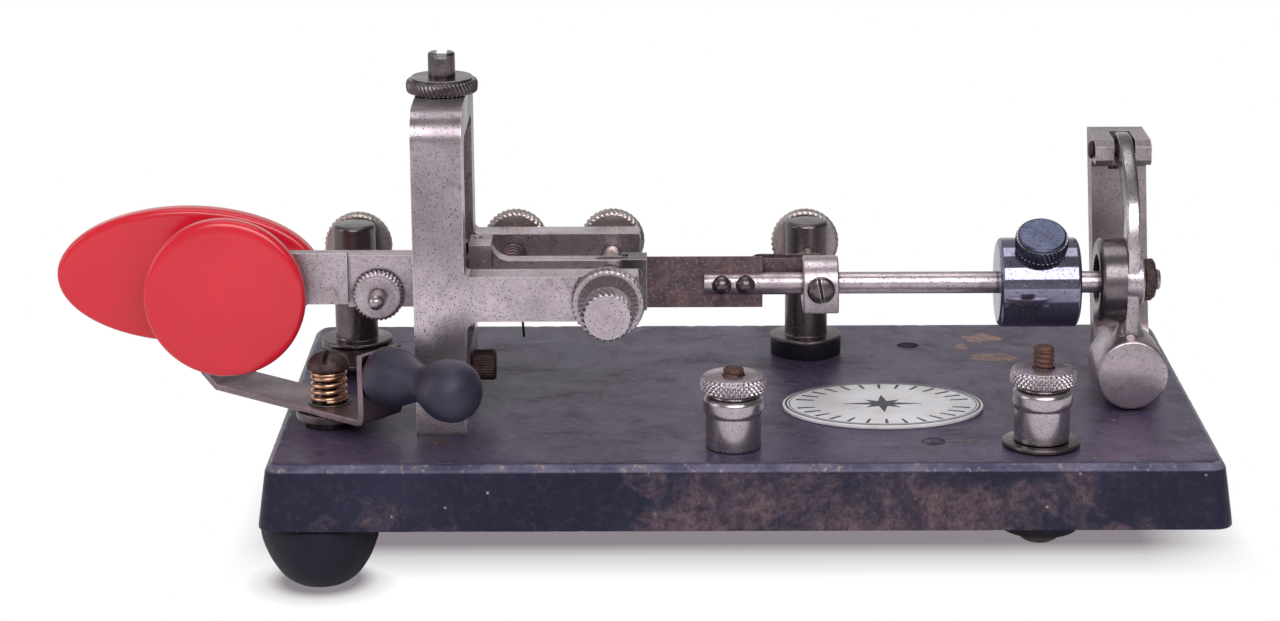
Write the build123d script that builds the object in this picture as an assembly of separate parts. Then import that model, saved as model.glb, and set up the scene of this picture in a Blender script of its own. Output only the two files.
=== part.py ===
"""Semi-automatic telegraph key (hand-worked sending key) as an assembly of named subcomponents.

The operator sits at the -X end and works the two red finger pieces. Squeezing the thumb paddle
swings the dot lever, and the vibrating rod behind it makes dots; pressing the finger knob swings
the dash lever and makes dashes. Millimetres. Everything is first laid out with the origin at the
middle of the base's underside (X along the base, Y away from the worked side, Z up), then moved so
that the origin is at the bottom centre of the whole object.
"""
from math import atan2, cos, degrees, hypot, pi, radians, sin, tan
import os

from build123d import *

# ---- driving dimensions (the base's length and width are those at half its height) ----
BASE_LENGTH = 165.1
BASE_WIDTH = 88.9
BASE_HEIGHT = 11.43
BASE_DRAFT_DEG = 8.0
BASE_CORNER_R = 3.4
BASE_CHAMFER = 1.1
FOOT_R = 10.4
FOOT_HEIGHT = 12.7
FOOT_PLACES = ((-73.6, -33.8), (-73.6, 33.8), (71.0, 0.0))
RECESS_DEPTH = 3.0

MID_Y = -8.9
AXIS_Z = 34.0
PIVOT_X = -52.5
LEG_X0 = -57.0
LEG_X1 = -48.2
LEG_Y0 = -26.7
LEG_Y1 = 8.9
LEG_THICK = 6.5
ARCH_TOP = 69.0
ARCH_R = 5.5
ARM_END = -18.0
ARM_THICK = 5.5
ARM_Z0 = 32.0
ARM_Z1 = 40.0
CROSSBAR_TOP = 23.0
FRAME_SCREWS = ((PIVOT_X, -23.4), (PIVOT_X, 5.6))

DOT_BAR_Z0 = 31.2
DOT_BAR_Z1 = 40.0
DOT_ARM_Z1 = 38.7
DOT_BAR_THICK = 2.5
DOT_ARM_THICK = 3.4
HUB_R = 3.5
PIN_R = 1.2
TRUNNION_R = 2.4
BOSS_X0 = -48.2
BOSS_X1 = -44.3
DASH_BACK = -12.6
DASH_FRONT = -15.0
DASH_THIN_FRONT = -13.8
DASH_Z0 = 32.0
DASH_Z1 = 41.3
PADDLE_CENTRE = (-98.8, 35.2)
PADDLE_LENGTH = 47.2
PADDLE_WIDTH = 24.7
PADDLE_THICK = 4.2
KNOB_CENTRE = (-90.8, 34.3)

STOP_Z = 36.1
FRONT_STOP_X = -23.3
FRONT_STOP_Z = 35.8
REAR_SCREW_R = 1.7
STOP_HEAD_R = 6.0
DOT_SPRING_X = -41.1
DOT_STOP_X = -23.2
STUD = (-64.2, 33.6)

ROD_R = 1.95
ROD_X0 = -6.5
ROD_X1 = 65.4
SPRING_THICK = 0.5
SPRING_Z0 = 29.6
SPRING_Z1 = 38.9
COLLAR_X0 = 11.0
COLLAR_X1 = 17.3
COLLAR_R = 4.9
LEAF_THICK = 0.4
WEIGHT_X = 52.8
WEIGHT_R = 7.95
WEIGHT_LENGTH = 14.3
THUMB_TILT_DEG = 30.0

DASH_POST = (-72.0, 23.5)
DOT_POST = (13.25, 24.6)
POST_R = 4.0
POST_TOP = 37.1
CONTACT_Z = 30.95
CONTACT_SCREW_R = 1.8
DISC_R = 6.5

DAMPER_X = 69.5
DAMPER_PIVOT = (7.0, 54.5)
BRACKET_X0 = 64.1
BRACKET_X1 = 74.2
BRACKET_TOP = 56.8
BRACKET_LEAN = 2.4
DAMPER_ARM_THICK = 2.5
RING_Y = MID_Y + 1.5
RING_X0 = 63.6
RING_OUT_R = 7.5
RING_HOLE_R = 4.2
BOB_R = 6.35
BOB_Z = 18.3

CLOSER = (-72.9, -19.6)
CLOSER_DEG = -38.5
STRIP_Z0 = 14.3
STRIP_Z1 = 15.5
TAB_OUT = 13.0
TAB_TOP = 27.2
CLOSER_KNOB_LENGTH = 22.6
CLOSER_KNOB_SIDE = -1.4
CLOSER_KNOB_Z = 23.5

LEFT_BINDING = (-1.8, -33.4)
RIGHT_BINDING = (51.4, -33.0)
STUD_R = 1.9
BORE_R = 1.95
PLATE_CENTRE = (25.5, -11.3)
PLATE_LENGTH = 36.0
PLATE_WIDTH = 26.3
PLATE_THICK = 0.8
PLUG_PLACES = ((33.0, 28.2), (33.0, -31.1))

THREAD_GAP = 0.05
FRONT = (0, -1, 0)
BACK = (0, 1, 0)
UP = (0, 0, 1)

parts = {}
base_cuts = []


# ---- helpers ----
def box(x0, x1, y0, y1, z0, z1):
    return Pos((x0 + x1) / 2, (y0 + y1) / 2, (z0 + z1) / 2) * Box(x1 - x0, y1 - y0, z1 - z0)


def cyl(radius, start, end):
    """Cylinder of one radius from one point to another."""
    way = Vector(*end) - Vector(*start)
    stand = Plane(origin=start, z_dir=way)
    return stand * Cylinder(radius, way.length, align=(Align.CENTER, Align.CENTER, Align.MIN))


def upright(radius, x, y, z0, z1):
    return cyl(radius, (x, y, z0), (x, y, z1))


def turned(profile, origin, axis=UP):
    """Solid of revolution from (radius, height) points, stood at origin along axis."""
    face = Face(Wire.make_polygon([(r, 0, h) for r, h in profile], close=True))
    return Plane(origin=origin, z_dir=axis) * Solid.revolve(face, 360, Axis.Z)


def ring(inner, outer, z0, z1):
    """Profile of a washer or bush."""
    return [(inner, z0), (outer, z0), (outer, z1), (inner, z1)]


def plate(points, normal, start, depth):
    """Straight-sided plate: a polygon in the plane across 'normal' (x or y), pushed along it."""
    if normal == "x":
        corners = [(start, a, b) for a, b in points]
        way = Vector(depth, 0, 0)
    else:
        corners = [(a, start, b) for a, b in points]
        way = Vector(0, depth, 0)
    return Solid.extrude(Face(Wire.make_polygon(corners, close=True)), way)


def screw_head(radius, height, slot, origin, axis):
    """Domed slotted head whose flat underside is at origin; the dome points along axis."""
    rows = 6
    dome = [(0, 0), (radius, 0), (radius, height * 0.45)]
    for i in range(1, rows):
        a = pi / 2 * i / rows
        dome.append((radius * cos(a), height * (0.45 + 0.55 * sin(a))))
    dome.append((0, height))
    head = turned(dome, (0, 0, 0))
    head -= box(-radius - 1, radius + 1, -slot / 2, slot / 2, height * 0.55, height + 1)
    return Plane(origin=origin, z_dir=axis) * head


def coil(radius, wire, turns, origin, axis, length):
    """Open compression spring."""
    path = Helix(pitch=(length - 2 * wire) / turns, height=length - 2 * wire, radius=radius)
    round_wire = Plane(origin=path @ 0, z_dir=path % 0) * Circle(wire)
    body = sweep(round_wire, path=path, is_frenet=True)
    return Plane(origin=origin, z_dir=axis) * (Pos(0, 0, wire) * body)


def disc_screw(shank_r, tip, shank_end, shoulder, head):
    """Screw with a pointed tip, a shoulder (radius, end) and a disc head (radius, end), from height 0."""
    shoulder_r, shoulder_end = shoulder
    head_r, head_end = head
    return [
        (0, 0), (shank_r * tip, 0), (shank_r, 0.6), (shank_r, shank_end), (shoulder_r, shank_end),
        (shoulder_r, shoulder_end), (head_r, shoulder_end), (head_r, head_end - 0.6),
        (head_r - 0.6, head_end), (0, head_end),
    ]


def group(shapes):
    """Separate solids kept under one node."""
    solids = []
    for shape in shapes:
        solids += shape.solids()
    return Compound(children=solids)


def hanging_screw(x, y, shank_r, head_r, top, drop=0.4):
    """Screw put in from below, with its head let into the base's underside."""
    base_cuts.append(upright(shank_r + 0.2, x, y, -1, BASE_HEIGHT + 1))
    base_cuts.append(upright(head_r + 0.3, x, y, -1, RECESS_DEPTH))
    return upright(shank_r, x, y, drop, top) + upright(head_r, x, y, drop, RECESS_DEPTH)


# ---- feet ----
def make_feet():
    feet = []
    studs = []
    h = FOOT_HEIGHT
    profile = [(0, -h), (FOOT_R * 0.43, -h), (FOOT_R * 0.66, -h * 0.86), (FOOT_R * 0.85, -h * 0.62)]
    profile += [(FOOT_R * 0.985, -h * 0.32), (FOOT_R, -1.2), (FOOT_R * 0.93, 0), (0, 0)]
    for x, y in FOOT_PLACES:
        feet.append(turned(profile, (x, y, 0)) - upright(1.6, x, y, -5, 1))
        studs.append(upright(1.6, x, y, -5, 7))
        base_cuts.append(upright(1.6, x, y, -1, 7))
    parts["rubber_feet"] = group(feet)
    return studs


# ---- yoke frame: an arch on two legs, with one arm running back from each leg ----
def arm_outline():
    """One arm with the stretch of leg that it grows from, blended into it."""
    mid_z = (ARM_Z0 + ARM_Z1) / 2
    outline = Rectangle(ARM_END - LEG_X0, ARM_Z1 - ARM_Z0).moved(Location(((ARM_END + LEG_X0) / 2, mid_z)))
    outline += Rectangle(LEG_X1 - LEG_X0, 24).moved(Location(((LEG_X0 + LEG_X1) / 2, mid_z)))
    for height, radius in ((ARM_Z0, 2.6), (ARM_Z1, 0.9)):
        corner = [v for v in outline.vertices() if abs(v.X - LEG_X1) < 0.01 and abs(v.Y - height) < 0.01]
        outline = fillet(corner, radius)
    tip = [v for v in outline.vertices() if abs(v.X - ARM_END) < 0.01]
    return fillet(tip, 0.6)


def make_frame():
    arch = box(LEG_X0, LEG_X1, LEG_Y0, LEG_Y1, BASE_HEIGHT, ARCH_TOP)
    arch = fillet(arch.edges().filter_by(Axis.X).sort_by(Axis.Z)[-2:], ARCH_R)
    window = box(LEG_X0 - 1, LEG_X1 + 1, LEG_Y0 + LEG_THICK, LEG_Y1 - LEG_THICK, CROSSBAR_TOP, ARCH_TOP - 6)
    frame = arch - fillet(window.edges().filter_by(Axis.X), 3.0)
    outline = arm_outline()
    for back_y in (LEG_Y0 + ARM_THICK, LEG_Y1):
        side = Plane(origin=(0, back_y, 0), x_dir=(1, 0, 0), z_dir=FRONT)
        frame += extrude(side * outline, amount=ARM_THICK)
    frame -= upright(TRUNNION_R + THREAD_GAP, PIVOT_X, MID_Y, 60, 72)
    frame -= upright(2.0, PIVOT_X, MID_Y, BASE_HEIGHT - 1, 30)
    frame -= cyl(1.45 + THREAD_GAP, (PIVOT_X, MID_Y, 19), (LEG_X1 + 1, MID_Y, 19))
    front_y = (LEG_Y0 - 1, LEG_Y0 + ARM_THICK + 1)
    frame -= cyl(2.0 + THREAD_GAP, *[(FRONT_STOP_X, y, FRONT_STOP_Z) for y in front_y])
    for x in (DOT_STOP_X, DOT_SPRING_X):
        rear_y = (LEG_Y1 - ARM_THICK - 1, LEG_Y1 + 1)
        frame -= cyl(REAR_SCREW_R + THREAD_GAP, *[(x, y, STOP_Z) for y in rear_y])
    for x, y in FRAME_SCREWS:
        frame -= upright(1.6, x, y, BASE_HEIGHT - 1, 19)
    parts["yoke_frame"] = frame
    return [hanging_screw(x, y, 1.6, 3.5, 19) for x, y in FRAME_SCREWS]


def make_trunnion():
    tip = [(0, 38.0), (0.5, 38.0), (PIN_R, 38.8), (PIN_R, 42.2), (TRUNNION_R, 42.2), (TRUNNION_R, 76.1), (0, 76.1)]
    screw = turned(tip, (PIVOT_X, MID_Y, 0))
    screw -= box(PIVOT_X - 0.95, PIVOT_X + 0.95, MID_Y - 3, MID_Y + 3, 75.35, 77)
    parts["trunnion_screw"] = screw
    nut = [(2.45, 69.05), (6.35, 69.05), (6.35, 71.3), (5.5, 71.8), (2.45, 71.8)]
    parts["trunnion_lock_nut"] = turned(nut, (PIVOT_X, MID_Y, 0))
    pin = [(0, 12.0), (2.0, 12.0), (2.0, 26.4), (PIN_R, 26.4), (PIN_R, 29.8), (0.5, 30.6), (0, 30.6)]
    parts["lower_pivot_pin"] = turned(pin, (PIVOT_X, MID_Y, 0))
    lock = cyl(1.45, (PIVOT_X + 2.05, MID_Y, 19), (LEG_X1 + 0.2, MID_Y, 19))
    parts["lower_lock_screw"] = lock + cyl(2.75, (LEG_X1 + 0.15, MID_Y, 19), (-43.8, MID_Y, 19))


# ---- stops and return spring on the two arms ----
def make_stops():
    dot_back = MID_Y + DOT_ARM_THICK / 2
    front = [(0, 0), (1.3, 0), (2.0, 0.8), (2.0, 22.6), (4.5, 22.6), (4.5, 27.0), (4.0, 27.4), (0, 27.4)]
    front_tip = (FRONT_STOP_X, MID_Y - DOT_ARM_THICK / 2 - 0.05, FRONT_STOP_Z)
    parts["front_stop_screw"] = turned(front, front_tip, FRONT)
    nut = [(2.05, 0), (6.4, 0), (6.4, 2.6), (5.6, 3.2), (2.05, 3.2)]
    parts["front_stop_nut"] = turned(nut, (FRONT_STOP_X, LEG_Y0 - 0.05, FRONT_STOP_Z), FRONT)
    rear = (("rear_stop_screw", DOT_STOP_X, dot_back + 0.55), ("dot_spring_screw", DOT_SPRING_X, -4.8))
    for name, x, tip_y in rear:
        profile = disc_screw(REAR_SCREW_R, 0.66, 9.8 - tip_y, (2.4, 12.5 - tip_y), (STOP_HEAD_R, 15.7 - tip_y))
        parts[name] = turned(profile, (x, tip_y, STOP_Z), BACK)
    length = LEG_Y1 - ARM_THICK - 0.08 - dot_back
    parts["dot_return_spring"] = coil(2.35, 0.3, 6, (DOT_SPRING_X, dot_back + 0.02, STOP_Z), BACK, length)


# ---- dot lever: paddle bar, hub on the trunnion, thick boss, bar between the arms ----
def make_dot_lever():
    y0 = MID_Y - DOT_BAR_THICK / 2
    y1 = MID_Y + DOT_BAR_THICK / 2
    lever = box(-97, PIVOT_X, y0, y1, DOT_BAR_Z0, DOT_BAR_Z1)
    lever += box(PIVOT_X, BOSS_X0 + 1, y0, y1, DOT_BAR_Z0, DOT_ARM_Z1)
    lever += cyl(HUB_R, (PIVOT_X, MID_Y, 29.0), (PIVOT_X, MID_Y, 39.75))
    lever -= box(PIVOT_X - 5, PIVOT_X + 5, MID_Y - 6, MID_Y + 6, 39.75, 42)
    lever += box(BOSS_X0, BOSS_X1, -12.3, -4.6, DOT_BAR_Z0, 42.0)
    neck = [(BOSS_X1 - 1, DOT_BAR_Z0), (-20, DOT_BAR_Z0), (-20, DOT_ARM_Z1), (-41.4, DOT_ARM_Z1)]
    neck += [(-42.7, 39.1), (-43.6, 39.9), (-44.2, 41.0), (BOSS_X1 - 1, 41.2)]
    lever += plate(neck, "y", MID_Y - DOT_ARM_THICK / 2, DOT_ARM_THICK)
    lever -= upright(1.0, -46.8, -6.6, 40.4, 43)
    lever -= upright(PIN_R + 0.06, PIVOT_X, MID_Y, 37.4, 41)
    lever -= upright(PIN_R + 0.06, PIVOT_X, MID_Y, 28, 31.2)
    lever -= box(-74.6, -69.4, MID_Y - 5, MID_Y + 5, 29, CONTACT_Z + 3.8)
    lever -= box(-26, -19, MID_Y - SPRING_THICK / 2, MID_Y + SPRING_THICK / 2, 29, SPRING_Z1 + 0.05)
    parts["dot_lever"] = lever
    x, z = STUD
    stud = [(0, 0), (1.5, 0), (1.5, 9.2), (1.2, 10.2), (0.6, 10.7), (0, 10.8)]
    parts["dash_spring_stud"] = turned(stud, (x, y0, z), FRONT)
    nut = [(1.55, 0), (4.65, 0), (4.65, 1.7), (4.2, 2.1), (1.55, 2.1)]
    parts["dash_tension_nut"] = turned(nut, (x, DASH_THIN_FRONT - 0.05, z), FRONT)
    parts["dash_return_spring"] = coil(2.35, 0.28, 2.5, (x, DASH_BACK + 0.02, z), BACK, 2.4)


def make_thumb_paddle():
    back_of_bar = MID_Y + DOT_BAR_THICK / 2
    stand = Plane(origin=(PADDLE_CENTRE[0], back_of_bar, PADDLE_CENTRE[1]), x_dir=(1, 0, 0), z_dir=BACK)
    oval = extrude(stand * Ellipse(PADDLE_LENGTH / 2, PADDLE_WIDTH / 2), amount=PADDLE_THICK)
    oval = chamfer(oval.edges().filter_by(GeomType.ELLIPSE), 0.9)
    screws = []
    for x in (-93.0, -84.5):
        oval -= cyl(1.2, (x, back_of_bar - 0.3, 35.3), (x, back_of_bar + 4.8, 35.3))
        screws.append(cyl(1.2, (x, back_of_bar, 35.3), (x, back_of_bar + 3.1, 35.3)))
    parts["thumb_paddle"] = oval
    parts["paddle_screws"] = group(screws)


# ---- vibrating rod on its flat main spring ----
def make_main_spring():
    y0 = MID_Y - SPRING_THICK / 2
    y1 = MID_Y + SPRING_THICK / 2
    spring = box(-25.5, 3.9, y0, y1, SPRING_Z0, SPRING_Z1)
    half = DOT_ARM_THICK / 2
    clamp = box(-21.3, -16.7, MID_Y - 2.5, MID_Y + 2.5, SPRING_Z0 + 0.1, SPRING_Z1 + 0.15)
    clamp -= box(-22, -20, MID_Y - half, MID_Y + half, DOT_BAR_Z0, SPRING_Z1 + 1)
    clamp -= box(-22, -16, y0, y1, 29, SPRING_Z1 + 0.05)
    pins = []
    for z in (32.8, 36.6):
        pin = cyl(0.9, (-18.4, MID_Y - 2.9, z), (-18.4, MID_Y + 2.9, z))
        pins.append(pin)
        clamp -= pin
        spring -= pin
    parts["spring_clamp"] = group([clamp] + pins)
    return spring


def make_rod(spring):
    rod = cyl(ROD_R, (ROD_X0, MID_Y, AXIS_Z), (ROD_X1, MID_Y, AXIS_Z))
    rod -= box(ROD_X0 - 1, 4.4, MID_Y - SPRING_THICK / 2, MID_Y + 4, AXIS_Z - 3, AXIS_Z + 3)
    dome = [(0, 0), (1.7, 0), (1.55, 0.75), (1.1, 1.15), (0, 1.35)]
    rivets = []
    for x in (-3.4, 0.8):
        rivet = turned(dome, (x, MID_Y - 1.6, AXIS_Z), FRONT)
        rivet += cyl(0.7, (x, MID_Y - 1.7, AXIS_Z), (x, MID_Y + 0.4, AXIS_Z))
        rivet += cyl(1.3, (x, MID_Y + 0.27, AXIS_Z), (x, MID_Y + 0.9, AXIS_Z))
        rivets.append(rivet)
        rod -= cyl(1.7, (x, MID_Y - 1.6, AXIS_Z), (x, MID_Y - 4, AXIS_Z))
        rod -= cyl(0.7, (x, MID_Y - 2, AXIS_Z), (x, MID_Y + 1, AXIS_Z))
        spring -= cyl(0.75, (x, MID_Y - 2, AXIS_Z), (x, MID_Y + 1, AXIS_Z))
    parts["main_spring"] = spring
    parts["vibrator_rod"] = rod
    parts["rod_rivets"] = group(rivets)


def make_contact_spring():
    """U-shaped leaf whose near side is held in the collar and whose far side carries the dot contact."""
    near = MID_Y + ROD_R + 0.05
    far = near + 3.4
    z0 = CONTACT_Z + 0.35
    z1 = 38.0
    screw_x = (COLLAR_X0 + COLLAR_X1) / 2 - 0.05
    collar = cyl(COLLAR_R, (COLLAR_X0, MID_Y, AXIS_Z), (COLLAR_X1, MID_Y, AXIS_Z))
    collar += box(COLLAR_X0, COLLAR_X1, MID_Y - COLLAR_R, MID_Y + COLLAR_R, 29.6, AXIS_Z)
    collar -= box(10, 18, MID_Y - 6, MID_Y + 6, 25, 29.6)
    collar -= cyl(ROD_R, (10, MID_Y, AXIS_Z), (18, MID_Y, AXIS_Z))
    collar -= box(10, 18, near, near + LEAF_THICK, z0 - 0.1, z1 + 0.1)
    collar -= cyl(1.2, (screw_x, MID_Y - 6, AXIS_Z), (screw_x, MID_Y, AXIS_Z))
    parts["contact_collar"] = collar
    screw = cyl(1.2, (screw_x, MID_Y - COLLAR_R, AXIS_Z), (screw_x, MID_Y - ROD_R, AXIS_Z))
    screw += screw_head(2.45, 1.3, 0.55, (screw_x, MID_Y - COLLAR_R, AXIS_Z), FRONT)
    parts["collar_screw"] = screw
    bend_x = 3.9
    bend_y = (near + far) / 2
    leaf = upright((far - near) / 2, bend_x, bend_y, z0, z1)
    leaf -= upright((far - near) / 2 - LEAF_THICK, bend_x, bend_y, z0 - 1, z1 + 1)
    leaf -= box(bend_x, 9, near - 1, far + 1, z0 - 1, z1 + 1)
    leaf += box(bend_x, COLLAR_X1, near, near + LEAF_THICK, z0, z1)
    leaf += box(bend_x, 15.2, far - LEAF_THICK, far, z0, z1)
    parts["contact_spring"] = leaf
    pad_z = CONTACT_Z + 1.35
    parts["dot_contact"] = cyl(0.9, (DOT_POST[0], far, pad_z), (DOT_POST[0], far + 0.6, pad_z))
    return far + 0.6


def make_weight():
    x0 = WEIGHT_X - WEIGHT_LENGTH / 2
    weight = cyl(WEIGHT_R, (x0, MID_Y, AXIS_Z), (x0 + WEIGHT_LENGTH, MID_Y, AXIS_Z))
    weight = chamfer(weight.edges().filter_by(GeomType.CIRCLE), 0.5)
    weight -= cyl(ROD_R + THREAD_GAP, (40, MID_Y, AXIS_Z), (66, MID_Y, AXIS_Z))
    tilt = (0, -sin(radians(THUMB_TILT_DEG)), cos(radians(THUMB_TILT_DEG)))
    middle = Vector(WEIGHT_X, MID_Y, AXIS_Z)
    weight -= cyl(1.5 + THREAD_GAP, tuple(middle), tuple(middle + Vector(*tilt) * 12))
    parts["speed_weight"] = weight
    thumb = [(0, 0), (1.5, 0), (1.5, 6.5), (4.75, 6.5), (4.75, 9.4), (4.2, 9.9), (0, 9.9)]
    foot = middle + Vector(*tilt) * (ROD_R + 0.05)
    parts["weight_thumbscrew"] = turned(thumb, tuple(foot), tilt)


# ---- dash lever: two eyes on the same trunnion, a web in front of them, the bar and its knob ----
def make_dash_lever():
    web_end = PIVOT_X + 3.9
    dash = box(-93, -69.5, DASH_FRONT, DASH_BACK, DASH_Z0, DASH_Z1)
    dash += box(-69.6, web_end, DASH_THIN_FRONT, DASH_BACK, DOT_BAR_Z0, 40.6)
    dash += box(PIVOT_X - 4.1, web_end, DASH_THIN_FRONT, DASH_BACK, 26.7, 41.9)
    for z0 in (26.7, 39.9):
        dash += upright(4.0, PIVOT_X, MID_Y, z0, z0 + 2.0)
        dash += box(PIVOT_X - 3.6, PIVOT_X + 3.6, DASH_BACK - 0.6, MID_Y, z0, z0 + 2.0)
        dash -= upright(PIN_R + 0.06, PIVOT_X, MID_Y, z0 - 1, z0 + 3)
    x, z = STUD
    dash -= cyl(1.9, (x, DASH_FRONT - 1, z), (x, DASH_BACK + 1, z))
    kx, kz = KNOB_CENTRE
    dash -= cyl(1.2, (kx, DASH_FRONT - 1, kz), (kx, DASH_BACK + 1, kz))
    parts["dash_lever"] = dash
    knob = [(1.2, 0), (4.5, 0), (4.5, 2.0), (13.2, 2.0), (14.2, 3.0), (14.2, 4.3), (13.4, 5.1)]
    knob += [(12.3, 5.35), (11.9, 5.05), (6, 5.5), (0, 5.7), (0, 3.0), (1.2, 3.0)]
    parts["finger_knob"] = turned(knob, (kx, DASH_FRONT, kz), FRONT)
    parts["knob_screw"] = cyl(1.2, (kx, DASH_BACK, kz), (kx, DASH_FRONT - 3.0, kz))
    contact = [(0, 0), (1.4, 0), (1.4, 10.0), (0.9, 10.0), (0.9, 10.6), (0, 10.6)]
    parts["dash_contact"] = turned(contact, (DASH_POST[0], DASH_BACK, CONTACT_Z + 1.85), BACK)


# ---- contact posts, their screws, and the insulation that they stand on ----
def make_posts(dot_pad_y):
    screws = []
    bushings = []
    layout = (("dash", DASH_POST, 14.2, -1.35), ("dot", DOT_POST, 14.33, dot_pad_y + 1.5))
    for name, (x, y), z0, tip_y in layout:
        profile = [(1.5, z0), (6.7, z0), (6.7, z0 + 0.8), (POST_R, z0 + 1.1), (POST_R, POST_TOP - 0.6)]
        profile += [(3.4, POST_TOP), (0, POST_TOP), (0, 25), (1.5, 25)]
        column = turned(profile, (x, y, 0))
        column -= cyl(CONTACT_SCREW_R + THREAD_GAP, (x, y - 6, CONTACT_Z), (x, y + 6, CONTACT_Z))
        parts[f"{name}_post"] = column
        shank = y + 5.6 - tip_y
        profile = disc_screw(CONTACT_SCREW_R, 0.5, shank, (3.0, shank + 0.9), (DISC_R, shank + 3.6))
        parts[f"{name}_contact_screw"] = turned(profile, (x, tip_y, CONTACT_Z), BACK)
        base_cuts.append(upright(2.6, x, y, -1, 12))
        head = [(0, 0.1), (3.0, 0.1), (3.0, 1.4), (1.5, 1.4), (1.5, 25), (0, 25)]
        screws.append(turned(head, (x, y, 0)))
        bushings.append(turned(ring(1.5, 2.6, RECESS_DEPTH, BASE_HEIGHT), (x, y, 0)))
    parts["post_screws"] = group(screws)
    x, y = DASH_POST
    dash_insulator = turned(ring(1.5, 6.7, BASE_HEIGHT, 13.4), (x, y, 0))
    tongue = upright(6.7, x, y, 13.4, 14.2) + box(-76.5, -65.6, 5.6, y, 13.4, 14.2)
    parts["closer_contact_plate"] = tongue - upright(1.5, x, y, 13, 15)
    dot_insulator = turned(ring(1.5, 6.65, BASE_HEIGHT, 14.33), (*DOT_POST, 0))
    parts["post_insulators"] = group([dash_insulator, dot_insulator])
    return bushings


# ---- circuit closer: a bent strip on a sprung pivot, with a two-bulb knob on its upturned tab ----
def make_closer():
    x, y = CLOSER
    turn = radians(CLOSER_DEG)
    local = Plane(origin=(x, y, 0), x_dir=(cos(turn), sin(turn), 0), z_dir=UP)
    side = [(-27.6, STRIP_Z0 + 2.6), (-23.8, STRIP_Z0), (TAB_OUT - 1.6, STRIP_Z0)]
    side += [(TAB_OUT - 0.5, STRIP_Z0 + 0.4), (TAB_OUT, STRIP_Z0 + 1.4), (TAB_OUT, TAB_TOP)]
    side += [(TAB_OUT - 1.2, TAB_TOP), (TAB_OUT - 1.2, STRIP_Z1 + 0.6), (TAB_OUT - 1.6, STRIP_Z1)]
    side += [(-23.3, STRIP_Z1), (-26.7, STRIP_Z0 + 3.4)]
    strip = plate(side, "y", -5.0, 10.0) - upright(1.5 + THREAD_GAP, 0, 0, 12, 17)

    def along(out):
        return (TAB_OUT + out, CLOSER_KNOB_SIDE, CLOSER_KNOB_Z)

    strip -= cyl(1.4, along(-2), along(9))
    section = [(3.6, 0.0), (4.8, 0.05), (5.2, 0.12), (5.2, 0.21), (4.5, 0.31), (3.65, 0.4), (3.25, 0.47)]
    section += [(3.6, 0.54), (4.5, 0.62), (5.2, 0.7), (5.4, 0.78), (5.0, 0.87), (3.9, 0.94), (2.2, 0.985)]
    profile = [(0, 0.02)] + [(r, 0.02 + (CLOSER_KNOB_LENGTH - 0.02) * t) for r, t in section]
    profile += [(0, CLOSER_KNOB_LENGTH)]
    bulbs = turned(profile, along(0), (1, 0, 0)) - cyl(1.4, along(-2), along(9))
    parts["closer_knob"] = local * bulbs
    rivet = cyl(1.4, along(-1.2), along(9)) + cyl(2.3, along(-2.1), along(-1.2))
    parts["closer_lever"] = group([local * strip, local * rivet])
    head_z = STRIP_Z1 + 6.0
    pivot = upright(1.5, x, y, 3, head_z) + screw_head(3.8, 3.3, 0.9, (x, y, head_z), UP)
    parts["closer_pivot_screw"] = pivot
    base_cuts.append(upright(1.5, x, y, 3, 12))
    under = STRIP_Z0 - 0.03
    over = STRIP_Z1 + 0.03
    boss = [(1.5, BASE_HEIGHT), (4.4, BASE_HEIGHT), (4.4, 12.7), (5.9, 12.9), (5.9, under), (1.5, under)]
    washers = [turned(boss, (x, y, 0)), turned(ring(1.5, 3.8, over, over + 0.22), (x, y, 0))]
    parts["closer_washers"] = group(washers)
    spring_z = over + 0.24
    parts["closer_spring"] = coil(2.85, 0.42, 5, (x, y, spring_z), UP, head_z - spring_z - 0.02)


# ---- damper: a swinging arm with a ring round the rod's end, hung in a forked bracket ----
def make_bracket():
    foot_front = MID_Y + 5.95
    top = BRACKET_TOP
    side = [(foot_front, BASE_HEIGHT), (16, BASE_HEIGHT), (16, top), (5.0, top), (3.9, top - 1.1), (3.9, 53.2)]
    side += [(5.0, 52.1), (9.4, 52.1), (11, 50.5), (11, 22), (10.4, 19.2), (8.6, 16.8), (6.0, 15.4)]
    side += [(2.5, 14.8), (foot_front, 14.6)]
    py, pz = DAMPER_PIVOT
    bracket = plate(side, "x", BRACKET_X0 - 1, BRACKET_X1 - BRACKET_X0 + 5)
    low_x0 = BRACKET_X0 + BRACKET_LEAN
    low_x1 = BRACKET_X1 + BRACKET_LEAN
    front = [(low_x0, 10), (low_x1, 10), (BRACKET_X1, top + 1), (BRACKET_X0, top + 1)]
    bracket &= plate(front, "y", foot_front - 1, 25)
    bracket -= box(DAMPER_X - 1.9, DAMPER_X + 1.9, -2, 12.6, 50.0, 58)
    bracket -= cyl(PIN_R, (BRACKET_X0 - 1, py, pz), (BRACKET_X1 + 1, py, pz))
    screws = []
    for y, top in ((4.2, 13.2), (12.6, 24.0)):
        bracket -= upright(1.4, DAMPER_X, y, 11, top)
        screws.append(hanging_screw(DAMPER_X, y, 1.4, 3.0, top, drop=0.5))
    parts["damper_bracket"] = bracket
    pin = cyl(PIN_R, (BRACKET_X0, py, pz), (BRACKET_X1 + 0.6, py, pz))
    parts["damper_pin"] = pin + screw_head(1.65, 1.0, 0.4, (BRACKET_X0, py, pz), (-1, 0, 0))
    return screws


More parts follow.
